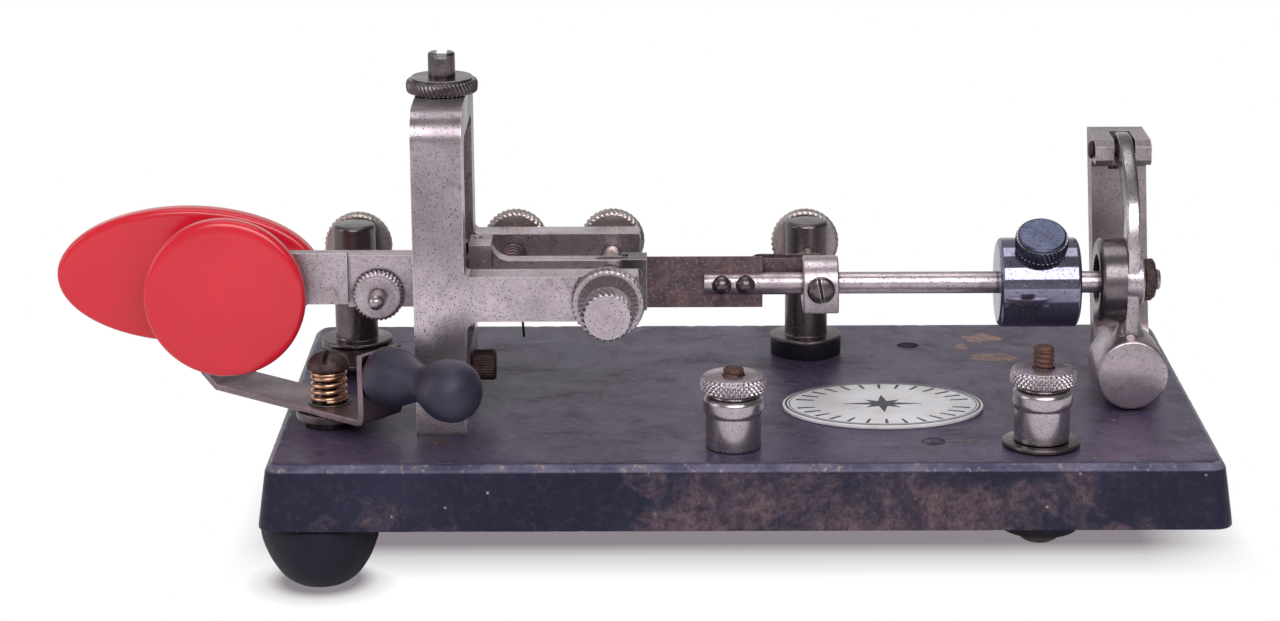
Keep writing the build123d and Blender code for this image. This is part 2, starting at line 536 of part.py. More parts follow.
def make_damper_arm():
    py, pz = DAMPER_PIVOT
    x0 = DAMPER_X - DAMPER_ARM_THICK / 2
    x1 = x0 + DAMPER_ARM_THICK
    side = [(8.4, 57.0), (4.2, 57.2), (0.6, 56.0), (-3.6, 53.6), (-7.8, 50.6), (-10.6, 47.0)]
    side += [(-11.5, 43.4), (-11.5, BOB_Z), (-6.2, BOB_Z), (-6.2, 41.5), (-5.2, 44.6), (-2.6, 47.6)]
    side += [(1.6, 50.6), (5.0, 52.2), (8.4, 52.0)]
    arm = plate(side, "x", x0, DAMPER_ARM_THICK)
    arm += cyl(2.6, (x0, py, pz), (x1, py, pz))
    arm += cyl(4.6, (x0, RING_Y, AXIS_Z), (x1 + 1.0, RING_Y, AXIS_Z))
    arm += cyl(BOB_R, (DAMPER_X, MID_Y - 6.0, BOB_Z), (DAMPER_X, MID_Y + 5.9, BOB_Z))
    arm += upright(3.0, DAMPER_X, MID_Y, BOB_Z + 3, BOB_Z + 7.6)
    arm -= cyl(PIN_R + THREAD_GAP, (BRACKET_X0, py, pz), (BRACKET_X1, py, pz))
    arm -= cyl(1.9, (x0 - 1, RING_Y, AXIS_Z), (x1 + 3, RING_Y, AXIS_Z))
    parts["damper_arm"] = arm
    eye = cyl(RING_OUT_R, (RING_X0, RING_Y, AXIS_Z), (x0, RING_Y, AXIS_Z))
    parts["damper_ring"] = eye - cyl(RING_HOLE_R, (RING_X0 - 1, RING_Y, AXIS_Z), (66.9, RING_Y, AXIS_Z))
    nut_x = x1 + 1.0
    stud = cyl(1.9, (x0, RING_Y, AXIS_Z), (nut_x + 3.2, RING_Y, AXIS_Z))
    hexagon = Plane(origin=(nut_x, RING_Y, AXIS_Z), z_dir=(1, 0, 0)) * RegularPolygon(3.9, 6)
    nut = extrude(hexagon, amount=2.1) - cyl(1.9, (nut_x - 1, RING_Y, AXIS_Z), (nut_x + 4, RING_Y, AXIS_Z))
    parts["ring_bolt"] = group([stud, nut])


# ---- binding posts: the left one is bonded to the base, the right one stands insulated ----
def make_binding_posts():
    bodies = []
    studs = []
    for side, (x, y), z0, height in (
        ("left", LEFT_BINDING, BASE_HEIGHT, 14.3),
        ("right", RIGHT_BINDING, BASE_HEIGHT + 1.0, 16.8),
    ):
        profile = [(BORE_R, z0), (4.8, z0), (4.8, z0 + 6.0), (5.15, z0 + 6.4), (5.15, z0 + 9.2)]
        profile += [(4.15, z0 + 9.6), (4.15, z0 + 9.8), (BORE_R, z0 + 9.8)]
        bodies.append(turned(profile, (x, y, 0)))
        top = z0 + height
        low = 0.4 if side == "left" else -3.4
        stud = turned([(0, low), (STUD_R, low), (STUD_R, top - 0.4), (1.5, top), (0, top)], (x, y, 0))
        base_cuts.append(upright(BORE_R, x, y, -1, 12))
        if side == "left":
            stud += upright(3.6, x, y, low, RECESS_DEPTH)
            base_cuts.append(upright(3.9, x, y, -1, RECESS_DEPTH))
        else:
            stud += screw_head(3.9, 2.6, 0.9, (x, y, low), (0, 0, -1))
        studs.append(stud)
        nut = [(BORE_R, z0 + 9.85), (5.7, z0 + 9.85), (5.7, z0 + 12.4), (5.1, z0 + 12.9), (BORE_R, z0 + 12.9)]
        parts[f"{side}_binding_nut"] = turned(nut, (x, y, 0))
    flange = turned(ring(BORE_R, 6.7, BASE_HEIGHT, BASE_HEIGHT + 1), (*RIGHT_BINDING, 0))
    parts["binding_studs"] = group(studs)
    parts["binding_posts"] = group(bodies + [flange])
    parts["binding_washer"] = turned(ring(BORE_R, 6.75, -3.4, 0), (*RIGHT_BINDING, 0))


# ---- brass strap let into the underside, from the right binding post to both contact posts ----
def strap_run(width, z0, z1):
    """Flat bars of one width along the strap's route, joined end to end."""
    shape = None
    run = (RIGHT_BINDING, DOT_POST, DASH_POST)
    for (ax, ay), (bx, by) in zip(run[:-1], run[1:]):
        turn = degrees(atan2(by - ay, bx - ax))
        here = Pos((ax + bx) / 2, (ay + by) / 2, (z0 + z1) / 2) * Rot(0, 0, turn)
        bar = here * Box(hypot(bx - ax, by - ay), width, z1 - z0)
        shape = bar if shape is None else shape + bar
    for x, y in run:
        shape += upright(width / 2 + (0.6 if width < 7 else 0), x, y, z0, z1)
    return shape


def make_strap(bushings):
    strap = strap_run(6.0, 1.4, 2.2)
    fibre = strap_run(7.6, 2.2, RECESS_DEPTH)
    base_cuts.append(strap_run(8.0, 0, RECESS_DEPTH))
    for x, y in (DASH_POST, DOT_POST):
        strap -= upright(1.5, x, y, 0, 4)
        fibre -= upright(1.5, x, y, 0, 4)
    strap -= upright(BORE_R, *RIGHT_BINDING, -1, 4)
    fibre -= upright(BORE_R, *RIGHT_BINDING, -1, 4)
    parts["contact_strap"] = strap
    parts["underside_insulation"] = group([fibre] + bushings)


# ---- name plate, recessed plug screws and the base itself ----
def make_name_plate():
    badge = Plane(origin=(*PLATE_CENTRE, BASE_HEIGHT)) * Ellipse(PLATE_LENGTH / 2, PLATE_WIDTH / 2)
    parts["name_plate"] = extrude(badge, amount=PLATE_THICK)
    plugs = []
    for x, y in PLUG_PLACES:
        base_cuts.append(upright(1.9, x, y, 5.5, 12))
        plugs.append(upright(1.9, x, y, 5.5, 10.6) - box(x - 3, x + 3, y - 0.3, y + 0.3, 9.8, 11))
    parts["plug_screws"] = group(plugs)


def make_base():
    spread = BASE_HEIGHT * tan(radians(BASE_DRAFT_DEG))
    outline = RectangleRounded(BASE_LENGTH + spread, BASE_WIDTH + spread, BASE_CORNER_R)
    base = extrude(outline, amount=BASE_HEIGHT, taper=BASE_DRAFT_DEG)
    base = chamfer(base.faces().sort_by(Axis.Z)[-1].edges(), BASE_CHAMFER)
    for tool in base_cuts:
        base -= tool
    parts["base"] = base


def write_parts():
    """Puts the origin at the bottom centre of the whole object and writes one file per node."""
    whole = Compound(children=[Compound(children=list(shape.solids())) for shape in parts.values()])
    extent = whole.bounding_box()
    middle_x = (extent.min.X + extent.max.X) / 2
    middle_y = (extent.min.Y + extent.max.Y) / 2
    shift = Pos(-middle_x, -middle_y, -extent.min.Z)
    print("shift", shift.position, "size", extent.size)
    os.makedirs("parts", exist_ok=True)
    for name, shape in parts.items():
        moved = [shift * solid for solid in shape.solids()]
        print(f"{name:22s} solids {len(moved)}  volume {sum(s.volume for s in moved):.1f}")
        export_step(moved[0] if len(moved) == 1 else Compound(children=moved), f"parts/{name}.step")


foot_studs = make_feet()
frame_screws = make_frame()
make_trunnion()
make_stops()
make_dot_lever()
make_thumb_paddle()
make_rod(make_main_spring())
dot_pad_y = make_contact_spring()
make_weight()
make_dash_lever()
bushings = make_posts(dot_pad_y)
make_closer()
bracket_screws = make_bracket()
parts["base_screws"] = group(foot_studs + frame_screws + bracket_screws)
make_damper_arm()
make_binding_posts()
make_strap(bushings)
make_name_plate()
make_base()
write_parts()
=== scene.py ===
"""Looks of a semi-automatic telegraph key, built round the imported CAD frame."""
import math

import bmesh
import bpy
from mathutils import Matrix, Vector, noise as wave


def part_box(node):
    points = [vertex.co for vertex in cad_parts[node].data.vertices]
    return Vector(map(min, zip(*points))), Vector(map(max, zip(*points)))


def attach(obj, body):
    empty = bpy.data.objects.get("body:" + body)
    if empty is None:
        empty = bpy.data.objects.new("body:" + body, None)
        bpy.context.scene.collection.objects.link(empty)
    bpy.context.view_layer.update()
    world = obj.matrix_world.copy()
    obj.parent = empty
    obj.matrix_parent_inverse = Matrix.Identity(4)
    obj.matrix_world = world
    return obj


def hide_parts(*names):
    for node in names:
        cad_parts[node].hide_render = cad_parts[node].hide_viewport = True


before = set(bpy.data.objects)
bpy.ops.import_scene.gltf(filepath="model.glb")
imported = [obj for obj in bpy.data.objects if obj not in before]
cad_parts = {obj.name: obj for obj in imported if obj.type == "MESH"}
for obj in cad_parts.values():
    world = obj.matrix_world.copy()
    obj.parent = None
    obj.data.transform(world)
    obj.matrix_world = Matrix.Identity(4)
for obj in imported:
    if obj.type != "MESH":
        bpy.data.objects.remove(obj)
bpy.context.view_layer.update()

# ---- layout: millimetres in the part's own drawing frame, from the middle of the base's underside ----
MM = 0.001
TAU = 2 * math.pi
BASE_LOW, BASE_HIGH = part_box("base")
SHIFT = Vector(((BASE_LOW[0] + BASE_HIGH[0]) / 2, (BASE_LOW[1] + BASE_HIGH[1]) / 2, BASE_LOW[2]))
MID_Y = -8.9
AXIS_Z = 34.0
PIVOT_X = -52.5
TOP = 11.43
DASH_POST = (-72.0, 23.5)
DOT_POST = (13.25, 24.6)
LEFT_TERMINAL = (-1.8, -33.4)
RIGHT_TERMINAL = (51.4, -33.0)
UP = (0, 0, 1)
FRONT = (0, -1, 0)
BACK = (0, 1, 0)
RIGHT = (1, 0, 0)
LEFT = (-1, 0, 0)


def at(x, y, z):
    return SHIFT + Vector((x, y, z)) * MM


# ---- material kit ----
class Shader:
    """Short calls that add nodes to a tree. A value may be a number, a colour or another node's socket."""

    def __init__(self, name, owners=bpy.data.materials):
        self.owner = owners.new(name)
        self.owner.use_nodes = True
        self.tree = self.owner.node_tree
        self.vec = self.coords()

    def put(self, socket, value):
        if isinstance(value, bpy.types.NodeSocket):
            self.tree.links.new(value, socket)
        elif isinstance(value, tuple) and len(value) < len(socket.default_value):
            socket.default_value = (*value, 1)
        elif value is not None:
            socket.default_value = value

    def node(self, kind, values=(), **settings):
        node = self.tree.nodes.new("ShaderNode" + kind)
        for key, setting in settings.items():
            setattr(node, key, setting)
        for key, value in dict(values).items():
            self.put(node.inputs[key], value)
        return node

    def coords(self, scale=(1, 1, 1), turn=(0, 0, 0)):
        place = self.node("TexCoord").outputs["Object"]
        return self.node("Mapping", {"Vector": place, "Scale": scale, "Rotation": turn}).outputs["Vector"]

    def noise(self, scale, detail, rough, distort=0.0, vec=None):
        values = {"Scale": scale, "Detail": detail, "Roughness": rough, "Distortion": distort}
        return self.node("TexNoise", {"Vector": vec or self.vec, **values}).outputs["Fac"]

    def voronoi(self, scale):
        return self.node("TexVoronoi", {"Vector": self.vec, "Scale": scale}).outputs["Distance"]

    def ramp(self, fac, *stops):
        """Grey ramp; each stop is (position, value)."""
        node = self.node("ValToRGB", {"Fac": fac})
        steps = node.color_ramp.elements
        while len(steps) < len(stops):
            steps.new(0.5)
        for step, (position, value) in zip(steps, stops):
            step.position = position
            step.color = (value, value, value, 1)
        return node.outputs["Color"]

    def fade(self, fac, low, high, most=1.0):
        """0 up to low, rising to most at high."""
        return self.ramp(fac, (low, 0.0), (high, most))

    def mix(self, fac, a, b, mode="MIX"):
        return self.node("Mix", {0: fac, 6: a, 7: b}, data_type="RGBA", blend_type=mode).outputs[2]

    def cover(self, base, tone, fac, low, high, most=1.0):
        """The base colour with the tone over it where fac is high."""
        return self.mix(self.fade(fac, low, high, most), base, tone)

    def math(self, op, *values, clamp=False):
        return self.node("Math", enumerate(values), operation=op, use_clamp=clamp).outputs[0]

    def times(self, a, b):
        return self.math("MULTIPLY", a, b)

    def plus(self, a, b):
        return self.math("ADD", a, b)

    def minus(self, a, b):
        return self.math("SUBTRACT", a, b)

    def length(self, a, b):
        return self.math("SQRT", self.plus(self.times(a, a), self.times(b, b)))

    def bump(self, height, strength, distance, below=None):
        values = {"Height": height, "Strength": strength, "Distance": distance, "Normal": below}
        return self.node("Bump", values).outputs["Normal"]

    def xyz(self, vec):
        return self.node("SeparateXYZ", {0: vec}).outputs

    def edge_mask(self, radius):
        """1 along sharp edges, 0 on flats."""
        eased = self.node("Bevel", {"Radius": radius}, samples=6).outputs[0]
        flat = self.node("NewGeometry").outputs["Normal"]
        cosine = self.node("VectorMath", {0: eased, 1: flat}, operation="DOT_PRODUCT").outputs["Value"]
        return self.ramp(cosine, (0.90, 1.0), (0.985, 0.0))

    def is_camera_ray(self):
        return self.node("LightPath").outputs["Is Camera Ray"]

    def finish(self, values):
        """Sets the surface's inputs and gives the finished material."""
        surface = self.tree.nodes["Principled BSDF"]
        for key, value in values.items():
            self.put(surface.inputs[key], value)
        return self.owner


# the heights, in metres over the base's underside, between which a part's painted shade bands run: its tone
# darker or lighter by height, as the light falls on it
SHADE_BANDS_LOW = 0.010
SHADE_BANDS_SPAN = 0.060
FINE_BRUSHING = (300, 300, 2600)


def plated(name, tint, dark, stain, rough, pits=0.5, brushed=FINE_BRUSHING, shade_bands=None):
    """Old plate on metal: cloudy tone, crisp dark pits, painted shade in the crevices, painted highlights
    along the edges.
    """
    s = Shader(name)
    cloud = s.noise(90, 5, 0.6)
    fine = s.noise(1100, 4, 0.65)
    base = s.cover(tint, dark, cloud, 0.35, 0.68)
    base = s.cover(base, dark, fine, 0.44, 0.70, 0.75)
    base = s.cover(base, stain, s.noise(260, 6, 0.7, 0.6), 0.58, 0.70, 0.7)
    often = s.fade(s.noise(300, 3, 0.6), 0.46 - 0.2 * pits, 0.62 - 0.2 * pits)
    specks = s.ramp(s.voronoi(2300), (0.13, 1.0), (0.22, 0.0))
    holes = s.ramp(s.voronoi(1000), (0.06, 1.0), (0.12, 0.0))
    pit = s.times(s.times(s.math("MAXIMUM", specks, holes), often), min(1.0, pits * 1.6))
    base = s.mix(pit, base, (0.030, 0.020, 0.020))
    # painted shade: the tone multiplied by a ramp over the height
    if shade_bands:
        height = s.math("MULTIPLY_ADD", s.xyz(s.vec)[2], 1 / SHADE_BANDS_SPAN, -(SHIFT.z + SHADE_BANDS_LOW) / SHADE_BANDS_SPAN)
        base = s.mix(1.0, base, s.ramp(height, *shade_bands), "MULTIPLY")
    # painted highlight: a pale tone along the sharp edges
    base = s.mix(s.times(s.edge_mask(0.0002), 0.7), base, (0.86, 0.80, 0.84))
    # painted shade: darker where ambient occlusion finds a crevice close by
    crevice_shade = s.node("AmbientOcclusion", {"Distance": 0.0009}, samples=8).outputs["AO"]
    base = s.mix(1.0, base, s.ramp(crevice_shade, (0.35, 0.12), (0.85, 1.0)), "MULTIPLY")
    dullness = s.mix(pit, s.ramp(cloud, (0.3, rough - 0.08), (0.75, rough + 0.12)), (0.8, 0.8, 0.8))
    relief = min(1.0, rough * 3.2) ** 1.5
    normal = s.bump(s.noise(1, 3, 0.6, vec=s.coords(brushed)), 0.10 * relief, 0.00006)
    normal = s.bump(fine, 0.14 * relief, 0.00008, normal)
    normal = s.bump(s.minus(1.0, pit), 0.7, 0.00012, normal)
    return s.finish({"Base Color": base, "Metallic": 0.9, "Roughness": dullness, "Normal": normal})


def rusty(name, brown, dark, bright, metal=0.35, grip=0.5):
    """Mottled brown surface: rusted steel, or pressed fibre where metal is 0."""
    s = Shader(name)
    big = s.noise(420, 6, 0.65, 0.4)
    fine = s.noise(1900, 5, 0.65)
    tone = s.cover(s.cover(dark, brown, big, 0.36, 0.62), bright, fine, 0.52, 0.74, 0.8)
    dullness = s.ramp(fine, (0.3, grip - 0.08), (0.7, grip + 0.22))
    normal = s.bump(fine, 0.35, 0.0001, s.bump(big, 0.35, 0.00018))
    return s.finish({"Base Color": tone, "Metallic": metal, "Roughness": dullness, "Normal": normal})


NICKEL = plated("dull_nickel", (0.60, 0.51, 0.56), (0.38, 0.315, 0.345), (0.20, 0.15, 0.15), 0.34, 0.7)
# the yoke's bands are painted shade, darkest over the top of the arch
YOKE_NICKEL = plated("yoke_nickel", (0.58, 0.49, 0.54), (0.37, 0.31, 0.34), (0.20, 0.15, 0.15), 0.28, 0.9,
                     shade_bands=((0.0, 0.95), (0.28, 0.9), (0.36, 1.0), (0.52, 1.0), (0.60, 0.72), (0.99, 0.72)))
# painted shade: a darker copy of the nickel for the bracket, which stands in shade
SHADED_BRACKET_NICKEL = plated("shaded_bracket_nickel", (0.40, 0.335, 0.365), (0.28, 0.23, 0.25), (0.20, 0.13, 0.12), 0.34,
                        0.7)
NICKEL_SMOOTH = plated("smooth_nickel", (0.50, 0.435, 0.47), (0.36, 0.31, 0.335), (0.19, 0.15, 0.15), 0.25,
                       0.35)
NICKEL_DARK = plated("dark_nickel", (0.17, 0.14, 0.15), (0.10, 0.08, 0.087), (0.07, 0.05, 0.048), 0.28, 0.5)
DISC_NICKEL = plated("disc_nickel", (0.62, 0.54, 0.51), (0.38, 0.32, 0.30), (0.22, 0.16, 0.13), 0.30, 0.4)
# the arm's bands are painted shade, darker at its foot and over its bend at the top
ARM_NICKEL = plated("worn_arm_painted_shade", (0.80, 0.73, 0.77), (0.42, 0.36, 0.38), (0.16, 0.12, 0.12), 0.26, 1.0,
                    (900, 900, 900),
                    ((0.0, 0.65), (0.35, 0.75), (0.5, 0.95), (0.62, 0.9), (0.70, 0.40), (0.99, 0.36)))
BOB_NICKEL = plated("turned_face", (0.54, 0.455, 0.50), (0.37, 0.305, 0.335), (0.24, 0.17, 0.17), 0.32, 0.45,
                    (2400, 200, 200))
CLOSER_STEEL = plated("closer_steel", (0.29, 0.215, 0.245), (0.17, 0.125, 0.14), (0.10, 0.06, 0.05), 0.36,
                      0.6)
RING_STEEL = plated("turned_ring", (0.20, 0.17, 0.185), (0.12, 0.10, 0.11), (0.09, 0.065, 0.065), 0.26, 0.3,
                    (2600, 200, 200))
CHROME = plated("weight_plate", (0.26, 0.25, 0.34), (0.17, 0.16, 0.23), (0.09, 0.09, 0.13), 0.08, 0.35)
WEIGHT_SCREW = plated("dark_plate", (0.085, 0.090, 0.145), (0.045, 0.048, 0.080), (0.030, 0.032, 0.046),
                      0.26, 0.5)
STEEL = plated("stained_steel", (0.28, 0.24, 0.24), (0.18, 0.15, 0.15), (0.13, 0.08, 0.06), 0.38, 0.5)
RUST = rusty("rust", (0.12, 0.05, 0.038), (0.040, 0.022, 0.022), (0.24, 0.12, 0.085))
RUST_DARK = rusty("dark_rust", (0.085, 0.045, 0.042), (0.030, 0.020, 0.024), (0.19, 0.12, 0.11), 0.6, 0.42)
SPRING_STEEL = rusty("stained_spring_steel", (0.16, 0.095, 0.10), (0.070, 0.050, 0.064), (0.30, 0.26, 0.29),
                     0.7, 0.36)
BROWN_FIBRE = rusty("brown_fibre", (0.24, 0.12, 0.07), (0.15, 0.075, 0.045), (0.3, 0.17, 0.1), 0.0, 0.6)


def make_bronze():
    s = Shader("bronze_wire")
    cloud = s.noise(700, 4, 0.6)
    tone = s.cover((0.66, 0.40, 0.27), (0.30, 0.16, 0.11), cloud, 0.4, 0.7)
    normal = s.bump(cloud, 0.15, 0.00006)
    return s.finish({"Base Color": tone, "Metallic": 0.95, "Roughness": 0.27, "Normal": normal})


def make_brass():
    s = Shader("old_brass")
    cloud = s.noise(240, 5, 0.6)
    tone = s.cover((0.60, 0.43, 0.20), (0.30, 0.20, 0.10), cloud, 0.4, 0.7)
    dullness = s.ramp(cloud, (0.3, 0.25), (0.8, 0.5))
    return s.finish({"Base Color": tone, "Metallic": 0.95, "Roughness": dullness})


def make_red():
    s = Shader("red_moulding")
    cloud = s.noise(55, 5, 0.6)
    fine = s.noise(1300, 5, 0.7)
    tone = s.cover((0.64, 0.012, 0.030), (0.57, 0.010, 0.025), cloud, 0.35, 0.7)
    tone = s.cover(tone, (0.48, 0.012, 0.026), fine, 0.58, 0.8, 0.25)
    scratch = s.noise(1, 3, 0.6, vec=s.coords((60, 2400, 900), (0, 0.4, 0)))
    return s.finish({"Base Color": tone, "Roughness": s.ramp(cloud, (0.3, 0.16), (0.75, 0.26)),
                     "Subsurface Weight": 0.10, "Subsurface Radius": (0.0012, 0.0003, 0.0002),
                     "Specular IOR Level": 0.55, "Normal": s.bump(fine, 0.05, 0.00006,
                                                                  s.bump(scratch, 0.02, 0.0001))})


def make_black(name, tone, grey, rough, grain, shine=0.2, relief=0.00012):
    """Dark moulding, rubber, fibre or enamel with a little dust in its grain."""
    s = Shader(name)
    cloud = s.noise(160, 5, 0.6)
    fine = s.noise(grain, 5, 0.7)
    tone = s.cover(s.cover(tone, grey, cloud, 0.35, 0.75), (0.15, 0.155, 0.19), fine, 0.62, 0.80, 0.45)
    return s.finish({"Base Color": tone, "Roughness": s.ramp(cloud, (0.3, rough - 0.06),
                                                             (0.75, rough + 0.12)),
                     "Specular IOR Level": shine, "Specular Tint": (0.90, 0.74, 1.0),
                     "Normal": s.bump(fine, 0.3, relief)})


def make_plate_white():
    s = Shader("enamel_white")
    cloud = s.noise(150, 5, 0.6)
    fine = s.noise(1200, 5, 0.7)
    tone = s.cover((0.74, 0.72, 0.76), (0.60, 0.55, 0.53), cloud, 0.45, 0.75)
    tone = s.cover(tone, (0.42, 0.33, 0.28), fine, 0.60, 0.72, 0.55)
    return s.finish({"Base Color": tone, "Roughness": 0.38, "Normal": s.bump(fine, 0.12, 0.00008)})


# dried glue on the base's top: (x, y) of each dab's middle and its reach along x and y
GLUE = (((46.8, 33.0), (5.5, 4.2)), ((48.7, 20.0), (6.6, 3.8)), ((43.0, 27.5), (1.8, 4.5)))


def glue_dab(s, x, y, mid, place, reach):
    """One ragged dab, strongest at its middle."""
    centre = at(*place, TOP)
    dx = s.times(s.minus(x, centre.x), 1 / (reach[0] * MM))
    dy = s.times(s.minus(y, centre.y), 1 / (reach[1] * MM))
    ragged = s.math("MULTIPLY_ADD", mid, 2.6, s.math("MULTIPLY_ADD", s.length(dx, dy), -1.0, -0.62))
    return s.fade(ragged, 0.0, 0.16)


def glue_mask(s, x, y, mid, fine):
    """Ragged bits of dried glue where a strip of tape once lay."""
    first, second, third = (glue_dab(s, x, y, mid, place, reach) for place, reach in GLUE)
    whole = s.math("MAXIMUM", s.math("MAXIMUM", first, second), third)
    return s.times(whole, s.ramp(fine, (0.38, 0.25), (0.52, 1.0)))


RUST_MIDDLE_X = 14
RUST_REACH = 0.060


def make_japan():
    """Dark blue-black stoved paint on a casting: chipped edges, rusty middle of the flanks, scuffed top, a
    lighter purple tone on the top that is dust and painted sheen.
    """
    s = Shader("worn_japan")
    x, y, z = s.xyz(s.vec)
    big = s.noise(38, 6, 0.62, 0.3)
    mid = s.noise(130, 6, 0.68, 0.5)
    fine = s.noise(700, 6, 0.7, 0.3)
    grain = s.noise(2600, 3, 0.6)
    low = s.math("MULTIPLY", s.minus(SHIFT.z + TOP * MM, z), 1 / (TOP * MM), clamp=True)
    is_top = s.ramp(low, (0.0, 1.0), (0.012, 0.0))
    flank = s.fade(low, 0.08, 0.16)
    chamfer = s.ramp(low, (0.004, 0.0), (0.02, 1.0), (0.09, 1.0), (0.12, 0.0))
    paint = s.cover((0.012, 0.013, 0.026), (0.022, 0.023, 0.043), big, 0.3, 0.7)
    paint = s.cover(paint, (0.048, 0.046, 0.070), fine, 0.50, 0.76, 0.6)
    # the top's lighter purple tone: dust, and painted sheen of the bright surroundings
    dust_and_sheen = s.cover((0.034, 0.026, 0.058), (0.088, 0.064, 0.124), big, 0.3, 0.7)
    dust_and_sheen = s.cover(dust_and_sheen, (0.125, 0.092, 0.150), fine, 0.45, 0.75, 0.65)
    dust_and_sheen = s.cover(dust_and_sheen, (0.018, 0.014, 0.028), mid, 0.53, 0.66, 0.6)
    # darker towards the front left of the top, where the painted sheen is weaker
    front = s.math("MULTIPLY_ADD", y, -14.0, 0.12, clamp=True)
    aside = s.math("MULTIPLY_ADD", x, -7.0, 0.35, clamp=True)
    dust_and_sheen = s.mix(s.times(s.times(front, aside), 0.75), dust_and_sheen, (0.030, 0.026, 0.045))
    tone = s.mix(is_top, paint, dust_and_sheen)
    off = s.times(s.minus(x, at(RUST_MIDDLE_X, 0, 0).x), 1 / RUST_REACH)
    middle = s.math("SUBTRACT", 1.0, s.math("POWER", s.math("ABSOLUTE", off), 2.0), clamp=True)
    reach = s.math("MULTIPLY_ADD", middle, 0.13, s.times(low, 0.07))
    patch = s.plus(s.plus(s.times(mid, 0.6), s.times(big, 0.4)), reach)
    bare = s.times(s.fade(patch, 0.60, 0.78), flank)
    rust = s.cover((0.040, 0.025, 0.034), (0.150, 0.098, 0.108), fine, 0.35, 0.65)
    rust = s.cover(rust, (0.22, 0.15, 0.14), grain, 0.5, 0.74, 0.5)
    tone = s.mix(bare, tone, rust)
    edge_tone = s.cover((0.070, 0.068, 0.120), (0.155, 0.142, 0.205), mid, 0.40, 0.60)
    tone = s.mix(s.times(chamfer, 0.85), tone, edge_tone)
    tone = s.mix(s.times(s.fade(fine, 0.57, 0.66), chamfer), tone, (0.30, 0.22, 0.19))
    scuff = s.noise(1, 4, 0.6, 0.4, s.coords((190, 1500, 800), (0, 0, 0.12)))
    scuffed = s.times(s.times(s.fade(scuff, 0.56, 0.66), is_top), s.fade(mid, 0.46, 0.60, 0.85))
    tone = s.mix(scuffed, tone, (0.15, 0.095, 0.085))
    chip = s.times(s.ramp(s.voronoi(330), (0.05, 1.0), (0.10, 0.0)), s.fade(mid, 0.52, 0.60))
    tone = s.mix(chip, tone, (0.34, 0.25, 0.20))
    specks = s.times(s.ramp(s.voronoi(900), (0.11, 1.0), (0.2, 0.0)), is_top)
    tone = s.mix(s.times(specks, 0.8), tone, (0.17, 0.10, 0.09))
    glue = s.times(glue_mask(s, x, y, mid, fine), is_top)
    tone = s.mix(glue, tone, (0.34, 0.235, 0.20))
    dullness = s.mix(bare, s.ramp(mid, (0.35, 0.26), (0.7, 0.44)), (0.62, 0.62, 0.62))
    dullness = s.mix(glue, dullness, (0.75, 0.75, 0.75))
    normal = s.bump(fine, 0.25, 0.00015, s.bump(mid, 0.22, 0.0004))
    normal = s.bump(s.minus(1.0, s.math("ADD", bare, chip, clamp=True)), 0.5, 0.00012, normal)
    return s.finish({"Base Color": tone, "Roughness": dullness, "Normal": normal,
                     "Specular IOR Level": 0.16, "Specular Tint": (0.85, 0.68, 1.0)})


BRONZE = make_bronze()
BRASS = make_brass()
RED = make_red()
BAKELITE = make_black("aged_moulding", (0.014, 0.015, 0.027), (0.028, 0.029, 0.048), 0.34, 2600, 0.5, 0.0004)
RUBBER = make_black("black_rubber", (0.009, 0.010, 0.016), (0.018, 0.019, 0.028), 0.50, 1500)
FIBRE = make_black("hard_fibre", (0.008, 0.008, 0.011), (0.016, 0.016, 0.021), 0.40, 1800)
PLATE_DARK = make_black("enamel_dark", (0.035, 0.036, 0.055), (0.06, 0.06, 0.085), 0.4, 1500)
PLATE_WHITE = make_plate_white()
JAPAN = make_japan()


# ---- mesh kit ----
SHARP = 38


def new_object(name, data):
    obj = bpy.data.objects.new(name, data)
    bpy.context.scene.collection.objects.link(obj)
    return obj


def claim(obj, mat, body, replaces):
    """Gives a piece its one material, its body and the nodes it stands for."""
    obj.data.materials.clear()
    obj.data.materials.append(mat)
    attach(obj, body)
    if replaces:
        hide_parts(*replaces)
    return obj


def reshape(mesh, *steps):
    bm = bmesh.new()
    bm.from_mesh(mesh)
    for step in steps:
        step(bm)
    bm.to_mesh(mesh)
    bm.free()


def weld(bm):
    bmesh.ops.remove_doubles(bm, verts=bm.verts, dist=1e-7)


def outward(bm):
    bmesh.ops.recalc_face_normals(bm, faces=bm.faces)


def shade(sharp=SHARP):
    """Step that smooths a mesh, except over edges sharper than the angle."""
    def step(bm):
        for face in bm.faces:
            face.smooth = True
        for edge in bm.edges:
            if len(edge.link_faces) == 2:
                edge.smooth = edge.calc_face_angle(0.0) < math.radians(sharp)
    return step


def finish_mesh(name, verts, faces, mat, body, slot, replaces=(), sharp=SHARP):
    mesh = bpy.data.meshes.new(name)
    mesh.from_pydata([at(*v) for v in verts], [], faces)
    reshape(mesh, weld, outward, shade(sharp))
    return claim(new_object(name, mesh), mat, body, replaces)


def skin(rings, closed=False, caps=False):
    """Vertices and faces over rings of points. A ring of one point is a pole; closed joins last to first."""
    verts, loops, faces = [], [], []
    for ring in rings:
        loops.append(range(len(verts), len(verts) + len(ring)))
        verts += ring
    pairs = list(zip(loops[:-1], loops[1:]))
    if closed:
        pairs.append((loops[-1], loops[0]))
    for a, b in pairs:
        n = max(len(a), len(b))
        for i in range(n if n > 1 else 0):
            j = (i + 1) % n
            if len(a) == 1:
                faces.append((a[0], b[i], b[j]))
            elif len(b) == 1:
                faces.append((a[i], a[j], b[0]))
            else:
                faces.append((a[i], a[j], b[j], b[i]))
    if caps:
        faces += [tuple(loops[-1]), tuple(reversed(loops[0]))]
    return verts, faces


def around(n):
    """Angles of n steps round a full turn."""
    return [TAU * i / n for i in range(n)]


